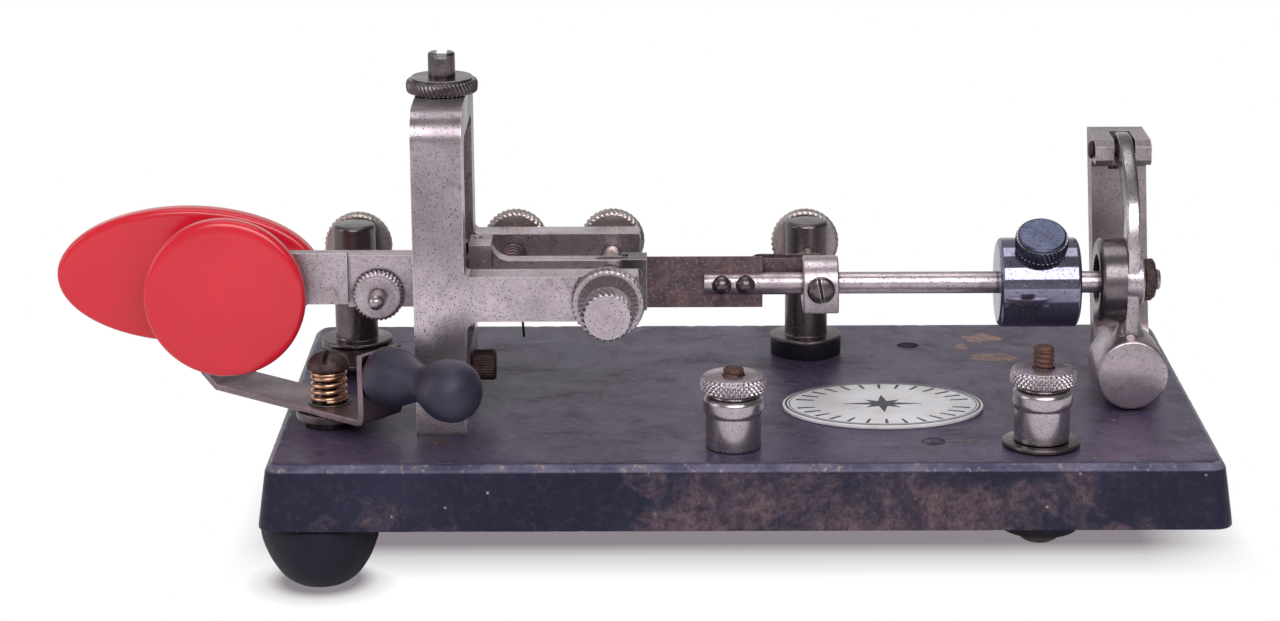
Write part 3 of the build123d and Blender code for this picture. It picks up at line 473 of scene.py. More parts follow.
def soften(points, r, steps=3):
    """Rounds the inner corners of a profile of (radius, height) points."""
    out = [points[0]]
    for a, b, c in zip(points[:-2], points[1:-1], points[2:]):
        p, q, s = Vector(a), Vector(b), Vector(c)
        cut = min(r, (p - q).length * 0.45, (s - q).length * 0.45)
        if cut < 1e-4:
            out.append(tuple(q))
            continue
        start = q + (p - q).normalized() * cut
        end = q + (s - q).normalized() * cut
        for i in range(steps + 1):
            t = i / steps
            out.append(tuple((1 - t) ** 2 * start + 2 * t * (1 - t) * q + t * t * end))
    out.append(points[-1])
    return out


def axes_of(axis):
    w = Vector(axis).normalized()
    ref = Vector(UP) if abs(w.z) < 0.9 else Vector(RIGHT)
    u = ref.cross(w).normalized()
    return u, w.cross(u), w


def noise3(x, y, z):
    return wave.noise(Vector((x, y, z)))


def tri(t):
    return 1 - abs(2 * (t - math.floor(t)) - 1)


def rope(count, lean):
    """Slanting teeth: the groove depth 0..1 at angle a and height h."""
    return lambda a, h: 1 - tri(count * a / TAU + lean * h) ** 0.75


def diamond(count, lean):
    """Crossed grooves."""
    def depth(a, h):
        turn = count * a / TAU
        return max(0.0, 1 - min(tri(turn + lean * h), tri(turn - lean * h)) * 1.15)
    return depth


def thread(pitch):
    return lambda a, h: 1 - tri(h / pitch + a / TAU) ** 0.8


def lathe(name, profile, origin, axis, mat, body, slot, replaces=(), segs=64, soft=0.0, cut=None, sharp=SHARP,
          closed=False):
    """Turned piece. profile: (radius, height). cut: (low, high, depth, pattern, step) carves a pattern."""
    rows = soften(profile, soft) if soft else list(profile)
    if cut:
        low, high, depth, pattern, step = cut
        rows = dense(rows, low, high, step)
    u, v, w = axes_of(axis)
    rings = []
    for r, h in rows:
        middle = Vector(origin) + w * h
        if r < 1e-6:
            rings.append([middle])
            continue
        carved = cut and low - 1e-6 <= h <= high + 1e-6
        ring = []
        for a in around(segs):
            reach = r - depth * pattern(a, h) if carved else r
            ring.append(middle + (u * math.cos(a) + v * math.sin(a)) * reach)
        rings.append(ring)
    return finish_mesh(name, *skin(rings, closed), mat, body, slot, replaces, sharp)


def dense(rows, low, high, step):
    """Adds rows between two heights, so that a pattern can be carved there."""
    out = [rows[0]]
    for (r0, z0), (r1, z1) in zip(rows[:-1], rows[1:]):
        lo, hi = min(z0, z1), max(z0, z1)
        if hi > low and lo < high and hi - lo > step and min(r0, r1) > 0.6 * max(r0, r1):
            n = int((hi - lo) / step)
            for i in range(1, n):
                out.append((r0 + (r1 - r0) * i / n, z0 + (z1 - z0) * i / n))
        out.append((r1, z1))
    return out


def drum(radius, low, high):
    return [(0, low), (radius, low), (radius, high), (0, high)]


def tube(bore, radius, low, high):
    return [(bore, low), (radius, low), (radius, high), (bore, high)]


def coil(name, node, radius, wire, turns, origin, axis, length, mat, body):
    """Compression spring with nearly flat end turns, for the CAD node of that name."""
    u, v, w = axes_of(axis)
    start = Vector(origin)
    steps = int(turns * 40)
    path = []
    for i in range(steps + 1):
        t = turns * i / steps
        height = wire + smooth_rise(t, turns) * (length - 2 * wire)
        path.append(start + (u * math.cos(TAU * t) + v * math.sin(TAU * t)) * radius + w * height)
    rings = []
    for i, p in enumerate(path):
        ahead = (path[min(i + 1, steps)] - path[max(i - 1, 0)]).normalized()
        out = p - start
        out = (out - w * out.dot(w)).normalized()
        side = ahead.cross(out)
        rings.append([p + (out * math.cos(c) + side * math.sin(c)) * wire for c in around(12)])
    return finish_mesh(name, *skin(rings, caps=True), mat, body, "bronze_spring", (node,), 60)


def smooth_rise(t, turns, ends=0.75, slow=0.12):
    """0..1 height after t turns of a spring whose end turns lie nearly flat."""
    whole = turns - 2 * ends + 2 * ends * slow
    if t < ends:
        return t * slow / whole
    if t > turns - ends:
        return 1 - (turns - t) * slow / whole
    return (ends * slow + (t - ends)) / whole


def slab(name, outline, normal, start, depth, mat, body, replaces, bevel=0.3, segments=2, place=None,
         sharp=SHARP):
    """Flat-sided piece: a closed outline across an axis, pushed along it, with rounded edges."""
    bm = bmesh.new()
    face = bm.faces.new([bm.verts.new(spot(normal, a, b, start)) for a, b in outline])
    up = bmesh.ops.extrude_face_region(bm, geom=[face])
    moved = [g for g in up["geom"] if isinstance(g, bmesh.types.BMVert)]
    bmesh.ops.translate(bm, verts=moved, vec=spot(normal, 0, 0, depth))
    outward(bm)
    if place is not None:
        bm.transform(place)
    mesh = bpy.data.meshes.new(name)
    bm.to_mesh(mesh)
    bm.free()
    obj = new_object(name, mesh)
    if bevel:
        mod = ease(obj, bevel, segments, 40)
        mod.miter_outer = "MITER_ARC"
    bake_modifiers(obj)
    to_metres = Matrix.Translation(SHIFT) @ Matrix.Scale(MM, 4)
    reshape(obj.data, lambda bm: bm.transform(to_metres), shade(sharp))
    return claim(obj, mat, body, replaces)


def spot(normal, a, b, along):
    return {"x": (along, a, b), "y": (a, along, b), "z": (a, b, along)}[normal]


def ease(obj, width, segments, limit):
    """Rounds the edges that are sharper than the limit."""
    mod = obj.modifiers.new("edges", "BEVEL")
    mod.width = width
    mod.segments = segments
    mod.limit_method = "ANGLE"
    mod.angle_limit = math.radians(limit)
    mod.use_clamp_overlap = True
    return mod


def bake_modifiers(obj):
    graph = bpy.context.evaluated_depsgraph_get()
    graph.update()
    baked = bpy.data.meshes.new_from_object(obj.evaluated_get(graph))
    obj.modifiers.clear()
    old = obj.data
    obj.data = baked
    bpy.data.meshes.remove(old)


def subtract(obj, verts, faces):
    """Cuts a closed shape, given in metres, out of a piece."""
    mesh = bpy.data.meshes.new("cutter")
    mesh.from_pydata(verts, [], faces)
    reshape(mesh, outward)
    tool = new_object("cutter", mesh)
    mod = obj.modifiers.new("cut", "BOOLEAN")
    mod.operation = "DIFFERENCE"
    mod.solver = "EXACT"
    mod.object = tool
    bake_modifiers(obj)
    bpy.data.objects.remove(tool)
    bpy.data.meshes.remove(mesh)


def remake(obj, mat):
    """Puts material and shading back after a piece was cut."""
    obj.data.materials.clear()
    obj.data.materials.append(mat)
    reshape(obj.data, shade())


def cut_slot(obj, mat, origin, axis, across, width, depth, length=30):
    """Screwdriver slot: a box along 'across', cut into a screw's head from its top."""
    w = Vector(axis).normalized()
    a = Vector(across).normalized() * length / 2
    b = w.cross(a).normalized() * width / 2
    rings = []
    for k in (-depth, 5):
        middle = Vector(origin) + w * k
        rings.append([at(*(middle + a * i + b * j)) for i, j in ((-1, -1), (1, -1), (1, 1), (-1, 1))])
    subtract(obj, *skin(rings, caps=True))
    remake(obj, mat)


def slotted(name, node, profile, origin, axis, across, slot_size, mat, body, slot, segs=48, soft=0.1, **how):
    """Turned screw with a screwdriver slot across its top, for the CAD node of that name."""
    screw = lathe(name, profile, origin, axis, mat, body, slot, (node,), segs, soft, **how)
    top = Vector(origin) + Vector(axis) * profile[-1][1]
    cut_slot(screw, mat, top, axis, across, *slot_size)


def dress(node, mat, bevel=0.0, segments=2, limit=42):
    """A CAD node that keeps its shape: better material, eased edges."""
    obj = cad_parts[node]
    for i in range(len(obj.data.materials)):
        obj.data.materials[i] = mat
    if not obj.data.materials:
        obj.data.materials.append(mat)
    if bevel:
        join = obj.modifiers.new("weld", "WELD")
        join.merge_threshold = 2e-6
        flat = obj.modifiers.new("flatten", "DECIMATE")
        flat.decimate_type = "DISSOLVE"
        flat.angle_limit = math.radians(1.0)
        ease(obj, bevel * MM, segments, limit)
        normal = obj.modifiers.new("normals", "WEIGHTED_NORMAL")
        normal.keep_sharp = False


def rim(radius, h0, h1, edge=0.5, rows=5):
    """Bulged rim of a knurled head between two heights, with narrow flats inside it that hold the shading."""
    inner = radius - edge
    out = [(inner - 0.22, h0), (inner - 0.1, h0)]
    for i in range(rows + 1):
        a = math.pi * i / rows
        out.append((inner + edge * math.sin(a) ** 0.6, (h0 + h1) / 2 - (h1 - h0) / 2 * math.cos(a)))
    return out + [(inner - 0.1, h1), (inner - 0.22, h1)]


# ---- camera, light, floor ----
CAMERA_PLACE = (-13.63, -549.29, 180.60)
CAMERA_YAW, CAMERA_PITCH, CAMERA_ROLL = (math.radians(a) for a in (-0.4615, 15.6727, -0.3196))


def build_camera():
    data = bpy.data.cameras.new("camera")
    cam = new_object("camera", data)
    data.sensor_width = 36
    data.lens = 88.27
    data.clip_start = 0.01
    data.clip_end = 50
    level = Vector((math.sin(CAMERA_YAW), math.cos(CAMERA_YAW), 0)) * math.cos(CAMERA_PITCH)
    ahead = level - Vector(UP) * math.sin(CAMERA_PITCH)
    right = Vector((math.cos(CAMERA_YAW), -math.sin(CAMERA_YAW), 0))
    up = right.cross(ahead)
    rolled_right = right * math.cos(CAMERA_ROLL) + up * math.sin(CAMERA_ROLL)
    rolled_up = -right * math.sin(CAMERA_ROLL) + up * math.cos(CAMERA_ROLL)
    turn = Matrix((rolled_right, rolled_up, -ahead)).transposed().to_4x4()
    cam.matrix_world = Matrix.Translation(at(*CAMERA_PLACE)) @ turn
    bpy.context.scene.camera = cam


def build_world():
    s = Shader("studio", bpy.data.worlds)
    bpy.context.scene.world = s.owner
    x, y, z = s.xyz(s.node("TexCoord").outputs["Generated"])
    low = s.ramp(s.math("ABSOLUTE", z), (0.05, 1.0), (0.55, 0.42))
    far = s.ramp(s.math("MULTIPLY_ADD", y, 0.5, 0.5), (0.15, 0.45), (0.75, 1.0))
    right = s.ramp(s.math("MULTIPLY_ADD", x, 0.5, 0.5), (0.55, 1.0), (0.85, 0.22))
    glow = s.mix(1.0, s.mix(1.0, low, far, "MULTIPLY"), right, "MULTIPLY")
    back = s.tree.nodes["Background"]
    s.put(back.inputs["Color"], s.mix(s.is_camera_ray(), glow, (0.97, 0.97, 0.98)))
    back.inputs["Strength"].default_value = 1.0


def area_light(name, place, target, size, power):
    data = bpy.data.lights.new(name, "AREA")
    data.shape = "RECTANGLE"
    data.size, data.size_y = size
    data.energy = power
    obj = new_object(name, data)
    obj.location = place
    obj.rotation_euler = (Vector(target) - Vector(place)).to_track_quat("-Z", "Y").to_euler()


def build_lights():
    area_light("front_softbox", (0.12, -0.75, 0.60), (0, 0, 0.03), (0.9, 0.5), 7.0)
    area_light("top_softbox", (0.0, 0.12, 0.80), (0, 0, 0.03), (0.6, 0.4), 1.5)
    area_light("left_softbox", (-0.80, -0.20, 0.35), (0, 0, 0.04), (0.4, 0.5), 1.2)


FEET = ((-73.6, -33.8), (-73.6, 33.8), (71, 0))


def floor_shade(s):
    """Soft dark under the middle of the base and round each foot."""
    x, y, z = s.xyz(s.vec)
    wide = s.math("ABSOLUTE", s.minus(x, at(0, 0, 0).x))
    deep = s.math("ABSOLUTE", s.minus(y, at(0, 0, 0).y))
    across = s.ramp(s.times(wide, 10.0), (0.72, 1.0), (0.92, 0.0))
    along = s.ramp(s.times(deep, 10.0), (0.16, 1.0), (0.23, 0.45), (0.34, 0.0))
    dark = s.times(across, along)
    for place in FEET:
        foot = at(*place, 0)
        reach = s.length(s.minus(x, foot.x), s.minus(y, foot.y))
        under_foot = s.ramp(s.times(reach, 40.0), (0.26, 1.0), (0.40, 0.30), (0.56, 0.0))
        dark = s.math("MAXIMUM", dark, under_foot)
    return dark


def build_floor():
    """Pale floor that the camera sees lit evenly, with a painted shadow under the object."""
    mesh = bpy.data.meshes.new("floor")
    r = 4.0
    mesh.from_pydata([(-r, -r, 0), (r, -r, 0), (r, r, 0), (-r, r, 0)], [], [(0, 1, 2, 3)])
    s = Shader("pale_floor")
    mat = s.finish({"Base Color": (0.93, 0.93, 0.945), "Roughness": 0.9, "Specular IOR Level": 0.1})
    # painted shadow: the floor's glow darkened under the base and round the feet
    glow = s.node("Emission", {"Color": s.mix(floor_shade(s), (1.0, 1.0, 1.0), (0.27, 0.24, 0.265))})
    surface = s.tree.nodes["Principled BSDF"]
    seen = s.node("MixShader", {0: s.is_camera_ray(), 1: surface.outputs[0], 2: glow.outputs[0]})
    s.put(s.tree.nodes["Material Output"].inputs["Surface"], seen.outputs[0])
    mesh.materials.append(mat)
    new_object("floor", mesh)


# ---- base and what is fixed to it ----
HALF_LENGTH = 83.35
HALF_WIDTH = 45.25
CORNER = 3.3
SLOPE = math.tan(math.radians(8.0))
# (inset, height) up the base: underside, drafted flank, chamfer and the edge of the top
BASE_SECTION = [(2.2, 0.0), (0.5, 0.0), (0.16, 0.08), (0.07, 0.35)]
BASE_SECTION += [(SLOPE * z, z) for z in (1.2, 2.2, 3.2, 4.2, 5.2, 6.2, 7.2, 8.2, 9.2, 9.9)]
BASE_SECTION += [(1.44, 10.12), (1.56, 10.4), (1.8, 10.66), (2.06, 10.9), (2.32, 11.12), (2.56, 11.3)]
BASE_SECTION += [(2.76, 11.41), (3.1, 11.43), (4.6, 11.43), (8.5, 11.43)]
FOOT = [(0, -12.7), (4.45, -12.7), (6.85, -10.92), (8.85, -7.87), (10.25, -4.06), (10.4, -1.2), (9.7, -0.02),
        (0, -0.02)]
STRAP_RUN = (RIGHT_TERMINAL, DOT_POST, DASH_POST)
PLUGS = ((33, 28.2), (33, -31.1))
# (x, y, radius) of the recesses for screw heads in the underside
RECESSES = ((PIVOT_X, -23.4, 3.8), (PIVOT_X, 5.6, 3.8), (69.5, 4.2, 3.3), (69.5, 12.6, 3.3),
            (*LEFT_TERMINAL, 3.9))


def rounded_rect(hx, hy, r, nx, ny, nc):
    """Closed ring of points round a rectangle with rounded corners, always the same count."""
    middles = [(hx - r, hy - r), (r - hx, hy - r), (r - hx, r - hy), (hx - r, r - hy)]
    ring = []
    for q, (cx, cy) in enumerate(middles):
        first, last = math.pi / 2 * q, math.pi / 2 * (q + 1)
        for k in range(nc):
            t = first + (last - first) * k / nc
            ring.append((cx + r * math.cos(t), cy + r * math.sin(t)))
        next_x, next_y = middles[(q + 1) % 4]
        start_x, start_y = cx + r * math.cos(last), cy + r * math.sin(last)
        count = ny if q % 2 else nx
        for k in range(count):
            ring.append((start_x + (next_x - cx) * k / count, start_y + (next_y - cy) * k / count))
    return ring


def disc(x, y, r, n=48):
    return [(x + r * math.cos(a), y + r * math.sin(a)) for a in around(n)]


def strip_outline(p, q, half):
    p, q = Vector(p), Vector(q)
    along = (q - p).normalized()
    side = Vector((-along.y, along.x)) * half
    return [p + side, p - side, q - side, q + side]


def prism(outline, low, high):
    """Upright cutting shape over an outline."""
    return skin([[at(a, b, z) for a, b in outline] for z in (low, high)], caps=True)


def worn(x, y, z, inset):
    """A point of the base's skin, moved in a little where the casting is wavy or its edges are nicked."""
    way = Vector((x, y, 0)).normalized()
    wave_depth = noise3(x * 0.35, y * 0.35, z * 0.5)
    chip = max(0.0, noise3(x * 0.9 + 7, y * 0.9, z * 0.4) - 0.28) * 0.55
    near = math.exp(-((z - 10.3) / 0.35) ** 2) + math.exp(-((z - 11.35) / 0.2) ** 2) * (inset < 3.2)
    near += math.exp(-(z / 0.5) ** 2) * (inset < 1)
    depth = abs(0.035 * wave_depth * (0 < z < 11.4) + chip * near)
    sunk = chip * 0.4 if z > 11 and inset < 3.2 else 0
    return (x - way.x * depth, y - way.y * depth, z - sunk)


def build_base():
    """The cast base: drafted flanks, a chamfer, edges nicked here and there."""
    rings = []
    for inset, z in BASE_SECTION:
        corner = max(0.4, CORNER - 0.5 * inset)
        ring = rounded_rect(HALF_LENGTH - inset, HALF_WIDTH - inset, corner, 150, 80, 5)
        rings.append([worn(x, y, z, inset) for x, y in ring])
    base = finish_mesh("base_casting", *skin(rings, caps=True), JAPAN, "base_unit", "japanned_iron",
                       ("base",), 30)
    for p, q in zip(STRAP_RUN[:-1], STRAP_RUN[1:]):
        subtract(base, *prism(strip_outline(p, q, 4.0), -1, 3.0))
    for x, y, r in [(*place, 4.0) for place in STRAP_RUN] + list(RECESSES):
        subtract(base, *prism(disc(x, y, r), -1, 3.0))
    for x, y in PLUGS:
        subtract(base, *prism(disc(x, y, 2.05), 5.4, 20))
    remake(base, JAPAN)
    for i, (x, y) in enumerate(FEET):
        lathe(f"foot_pad_{i + 1}", FOOT, (x, y, 0), UP, RUBBER, "base_unit", "black_rubber",
              ("rubber_feet",), 64, 2.2)
    for node in ("base_screws", "post_screws", "lower_pivot_pin"):
        dress(node, STEEL, 0.12)
    dress("contact_strap", BRASS, 0.15)
    dress("underside_insulation", BROWN_FIBRE, 0.15)
    for i, (x, y) in enumerate(PLUGS):
        slotted(f"plug_screw_{i + 1}", "plug_screws", [(0, 5.5), (1.9, 5.5), (1.9, 10.1), (1.5, 10.6),
                                                       (0, 10.6)],
                (x, y, 0), UP, (1, 0.4 - i, 0), (0.6, 0.7), RUST_DARK, "base_unit", "rusted_steel", 32, 0.2)


# ---- the badge: a generic dial of rays round a star ----
BADGE_PLACE = (25.5, -11.3)
BADGE_A, BADGE_B = 18.0, 13.15
BADGE_FACE = TOP + 0.70


def ellipse(a, b, n):
    return [(a * math.cos(t), b * math.sin(t)) for t in around(n)]


def plate_part(name, outline, z, thick, mat, soft=0.0):
    place = Matrix.Translation((*BADGE_PLACE, 0))
    slab(name, outline, "z", z, thick, mat, "base_unit", ("name_plate",), soft, place=place)


def badge_line(name, a, b, width):
    """Thin raised elliptical line on the badge; a and b are its outer half axes."""
    low, high = BADGE_FACE, BADGE_FACE + 0.06
    rings = []
    for inset, z in ((0, low), (width, low), (width, high), (0, high)):
        outline = ellipse(a - inset, b - inset, 160)
        rings.append([(BADGE_PLACE[0] + x, BADGE_PLACE[1] + y, z) for x, y in outline])
    finish_mesh(name, *skin(rings, closed=True), PLATE_DARK, "base_unit", "enamel_badge", ("name_plate",))


def build_badge():
    plate_part("badge_plate", ellipse(BADGE_A, BADGE_B, 120), TOP + 0.02, 0.70, PLATE_WHITE, 0.22)
    badge_line("badge_line_outer", 17.55, 12.75, 0.35)
    badge_line("badge_line_inner", 16.85, 12.1, 0.15)
    star = []
    for i, t in enumerate(around(16)):
        r = (5.2, 1.5, 3.2, 1.5)[i % 4]
        star.append((r * 1.35 * math.cos(t), r * math.sin(t)))
    plate_part("badge_star", star, BADGE_FACE, 0.07, PLATE_DARK)
    for i, t in enumerate(around(28)):
        c, s = math.cos(t), math.sin(t)
        if abs(s) < 0.12:
            continue
        ray = []
        for along, side in ((0.70, -0.35), (0.88, -0.55), (0.88, 0.55), (0.70, 0.35)):
            ray.append((BADGE_A * along * c - side * 0.55 * s, BADGE_B * along * s + side * 0.55 * c))
        plate_part(f"badge_ray_{i:02d}", ray, BADGE_FACE, 0.06, PLATE_DARK)


# ---- terminals ----
def build_terminal(side, middle, foot, low, top):
    """Turned body standing on the height foot, a knurled nut, and a threaded stud from low to top."""
    place = (*middle, 0)
    body = [(0, 0), (4.8, 0), (4.8, 6.0), (5.05, 6.35), (5.2, 6.9), (5.2, 8.6), (4.75, 9.2), (4.15, 9.3),
            (4.05, 9.8), (0, 9.8)]
    lathe(f"{side}_terminal_body", [(r, foot + h) for r, h in body], place, UP, NICKEL_SMOOTH, "base_unit",
          "dull_nickel", ("binding_posts",), 72, 0.3)
    nut = [(2.0, 0), (4.3, 0), (5.1, 0.35), (5.75, 0.75), (5.75, 2.45), (5.2, 2.9), (4.9, 3.05), (2.0, 3.05)]
    seat = foot + 9.85
    lathe(f"{side}_knurled_nut", [(r, seat + h) for r, h in nut], place, UP, NICKEL, f"{side}_binding_nut",
          "dull_nickel", (f"{side}_binding_nut",), 288, 0.0,
          (seat + 0.4, seat + 2.85, 0.42, diamond(36, 1.0), 0.13), 60, True)
    lathe(f"{side}_terminal_stud",
          [(0, low), (1.75, low), (1.86, foot + 9), (1.86, top - 0.5), (1.5, top - 0.05), (0, top)],
          place, UP, RUST, "base_unit", "rusted_steel", ("binding_studs",), 48, 0.1,
          (foot + 9.9, top - 0.45, 0.32, thread(0.85), 0.12), 50)


def build_terminals():
    build_terminal("left", LEFT_TERMINAL, TOP, 1.0, 25.73)
    build_terminal("right", RIGHT_TERMINAL, TOP + 1, -3.4, 29.23)
    right = (*RIGHT_TERMINAL, 0)
    lathe("left_terminal_head", drum(3.6, 0.4, 3.0), (*LEFT_TERMINAL, 0), UP, RUST_DARK, "base_unit",
          "rusted_steel", ("binding_studs",), 48, 0.3)
    lathe("right_terminal_washer", tube(1.95, 6.75, -3.4, -0.02), right, UP, FIBRE, "base_unit",
          "black_insulator", ("binding_washer",), 64, 0.3, closed=True)
    lathe("right_terminal_head",
          [(0, -3.45), (3.9, -3.45), (3.9, -4.0), (3.5, -5.0), (2.5, -5.7), (1.2, -5.97), (0, -6.0)],
          right, UP, RUST_DARK, "base_unit", "rusted_steel", ("binding_studs",), 48, 0.3)
    lathe("right_terminal_flange", tube(1.95, 6.7, TOP + 0.02, TOP + 0.98), right, UP, NICKEL_DARK,
          "base_unit", "dull_nickel", ("binding_posts",), 64, 0.25, closed=True)


# ---- the yoke and its pivot screws ----
def turned(name, node, origin, axis, profile, mat, slot="dull_nickel", **how):
    """A turned piece that rides on a body of its own, named like the CAD node it stands for."""
    lathe(name, profile, origin, axis, mat, node, slot, (node,), **how)


def build_frame():
    dress("yoke_frame", YOKE_NICKEL, 0.34, 3, 40)
    pivot = (PIVOT_X, MID_Y, 0)
    # nothing is carved in this shank: a cut of no depth only adds the rows that hold its shading
    slotted("trunnion_screw_turned", "trunnion_screw",
            [(0, 38), (1.2, 38.3), (1.25, 42.0), (2.38, 42.6), (2.38, 75.8), (2.15, 76.1), (0, 76.1)],
            pivot, UP, BACK, (1.9, 0.75), NICKEL_DARK, "trunnion_screw", "dull_nickel", 64, 0.15,
            cut=(70, 73, 0.0, thread(0.9), 0.3))
    z = 69.05
    turned("trunnion_nut_turned", "trunnion_lock_nut", pivot, UP,
           [(2.45, z), *rim(6.35, z, z + 2.3, 0.6, 7), (5.35, z + 2.3), (5.35, z + 2.75), (2.45, z + 2.75)],
           NICKEL_DARK, segs=400, cut=(z + 0.15, z + 2.2, 0.32, rope(50, 0.55), 0.16), sharp=55, closed=True)
    turned("lower_lock_turned", "lower_lock_screw", (PIVOT_X + 2.05, MID_Y, 19), RIGHT,
           [(0, 0), (1.45, 0), (1.45, 2.4), (2.6, 2.45), (2.75, 2.8), (2.75, 6.2), (2.4, 6.6), (0, 6.65)],
           RUST_DARK, "rusted_steel", segs=180, cut=(2.8, 6.2, 0.14, rope(30, 0.0), 0.5), sharp=50)


# ---- the levers ----
DASH_STUD_X, DASH_STUD_Z = -64.2, 33.6


def build_dot_lever():
    body = "dot_lever_set"
    dress("dot_lever", NICKEL, 0.28)
    dress("spring_clamp", NICKEL_DARK, 0.22)
    dress("main_spring", SPRING_STEEL, 0.04, 1)
    build_paddle(body)
    for i, x in enumerate((-93, -84.5)):
        slotted(f"paddle_screw_{i + 1}", "paddle_screws",
                [(0, -0.1), (2.0, -0.1), (2.0, 0.2), (1.5, 0.45), (0.7, 0.57), (0, 0.6)],
                (x, -10.15, 35.3), FRONT, (1, 0, 0.5), (0.45, 0.3), NICKEL_DARK, body, "dull_nickel")
    lathe("tension_stud_turned",
          [(0, 0), (1.5, 0), (1.5, 8.9), (1.42, 9.6), (1.15, 10.2), (0.65, 10.65), (0, 10.8)],
          (DASH_STUD_X, -10.12, DASH_STUD_Z), FRONT, NICKEL_SMOOTH, body, "dull_nickel",
          ("dash_spring_stud",), 48, 0.2)
    coil("dash_spring_wound", "dash_return_spring", 2.3, 0.28, 2.5, (DASH_STUD_X, -10.28, DASH_STUD_Z),
         FRONT, 2.15, BRONZE, body)
    turned("tension_nut_turned", "dash_tension_nut", (DASH_STUD_X, -13.85, DASH_STUD_Z), FRONT,
           [(1.56, 0), *rim(4.65, 0, 1.9, 0.7), (3.6, 1.9), (3.6, 2.1), (1.56, 2.1)],
           NICKEL, segs=320, cut=(0.1, 1.8, 0.42, rope(34, 0.3), 0.2), sharp=55, closed=True)


PADDLE_X, PADDLE_Z = -98.8, 35.2
PADDLE_BACK = -3.45
PADDLE_A, PADDLE_B = 23.6, 12.35
# (share of the outline, depth) from the middle of the face, round the rolled rim, to the middle of the back
PADDLE_SECTION = ((0.0, 4.2), (0.35, 4.2), (0.7, 4.2), (0.9, 4.18), (0.945, 4.12), (0.972, 3.95),
                  (0.990, 3.65),
                  (0.999, 3.2), (1.0, 2.6), (1.0, 1.4), (0.996, 0.8), (0.98, 0.3), (0.955, 0.05), (0.9, 0.0),
                  (0.0, 0.0))


def build_paddle(body):
    """Oval thumb paddle with a rolled rim."""
    rings = []
    for k, depth in PADDLE_SECTION:
        y = PADDLE_BACK - depth
        inset = (1 - k) * PADDLE_B
        a, b = (PADDLE_A * k, PADDLE_B * k) if k < 0.5 else (PADDLE_A - inset, PADDLE_B - inset)
        outline = ellipse(a, b, 120) if k else [(0, 0)]
        rings.append([(PADDLE_X + u, y, PADDLE_Z + v) for u, v in outline])
    finish_mesh("thumb_paddle_moulded", *skin(rings), RED, body, "red_plastic", ("thumb_paddle",), 60)


def build_dash_lever():
    body = "dash_lever_set"
    dress("dash_lever", NICKEL, 0.3)
    dress("dash_contact", NICKEL_SMOOTH, 0.15)
    lathe("finger_knob_moulded",
          [(0, 0), (4.5, 0), (4.5, 2.0), (13.5, 2.0), (14.0, 2.22), (14.2, 2.7), (14.2, 4.2), (14.13, 4.5),
           (13.95, 4.8), (13.65, 5.02), (13.2, 5.17), (12.4, 5.28), (11.7, 5.34), (11.45, 5.33), (11.2, 5.36),
           (9, 5.46), (6, 5.57), (3, 5.64), (0, 5.66)],
          (-90.8, -15.0, 34.3), FRONT, RED, body, "red_plastic", ("finger_knob",), 120, sharp=60)
    slotted("knob_screw_turned", "knob_screw", [(0, 0), (2.2, 0), (2.2, 0.25), (1.7, 0.5), (0.8, 0.62),
                                                (0, 0.65)],
            (-90.8, -12.6, 34.3), BACK, (1, 0, 0.2), (0.5, 0.35), NICKEL_DARK, body, "dull_nickel")


# ---- stop, spring and contact screws ----
CONTACT_Z = 30.95


def stop_screw(node, x, z, tip, radius, shoulder, head):
    """Screw along +Y: plain shank from its tip, a shoulder (radius, y0), a knurled head (radius, y0, y1)."""
    shoulder_r, shoulder_y = shoulder[0], shoulder[1] - tip
    head_r, low, high = head[0], head[1] - tip, head[2] - tip
    turned(f"{node}_turned", node, (x, tip, z), BACK,
           [(0, 0), (radius * 0.5, 0.06), (radius * 0.82, 0.32), (radius, 0.8), (radius, shoulder_y),
            (shoulder_r, shoulder_y), (shoulder_r, low), *rim(head_r, low, high, 0.8, 7),
            (head_r - 1.2, high - 0.2), (0, high - 0.2)],
           DISC_NICKEL, segs=368, cut=(low + 0.15, high - 0.15, 0.46, rope(36, 0.5), 0.2), sharp=55)


def build_stop_screws():
    stop_screw("rear_stop_screw", -23.2, 36.1, -6.65, 1.68, (2.4, 9.8), (6.0, 12.5, 15.7))
    stop_screw("dot_spring_screw", -41.1, 36.1, -4.8, 1.68, (2.4, 9.8), (6.0, 12.5, 15.7))
    stop_screw("dash_contact_screw", DASH_POST[0], CONTACT_Z, -1.35, 1.8, (3.0, 29.1), (6.5, 30.0, 32.7))
    stop_screw("dot_contact_screw", DOT_POST[0], CONTACT_Z, -1.4, 1.8, (3.0, 30.2), (6.5, 31.1, 33.8))
    turned("front_stop_turned", "front_stop_screw", (-23.3, -10.65, 35.8), FRONT,
           [(0, 0), (1.5, 0), (2.0, 0.5), (2.0, 22.6), (3.9, 22.6), *rim(4.55, 22.6, 27.2, 0.7, 9),
            (3.6, 27.38), (0, 27.4)],
           NICKEL, segs=288, cut=(22.75, 27.1, 0.6, rope(24, 0.42), 0.2), sharp=55)
    turned("front_stop_nut_turned", "front_stop_nut", (-23.3, -26.75, 35.8), FRONT,
           [(2.05, 0), *rim(6.4, 0, 3.1, 0.85, 8), (5.2, 3.1), (5.05, 2.9), (2.05, 2.9)],
           NICKEL, segs=400, cut=(0.15, 2.95, 0.5, rope(36, 0.5), 0.18), sharp=55, closed=True)
    coil("dot_spring_wound", "dot_return_spring", 2.05, 0.26, 6, (-41.1, -7.08, 36.1), BACK, 10.25,
         SPRING_STEEL, "base_unit")
    lathe("dot_spring_tail", [(0, 0), (0.22, 0.05), (0.22, 6.6), (0, 6.65)], (-38.9, -6.1, 23.3),
          (-0.08, 0, 1), FIBRE, "base_unit", "bronze_spring", (), 16)


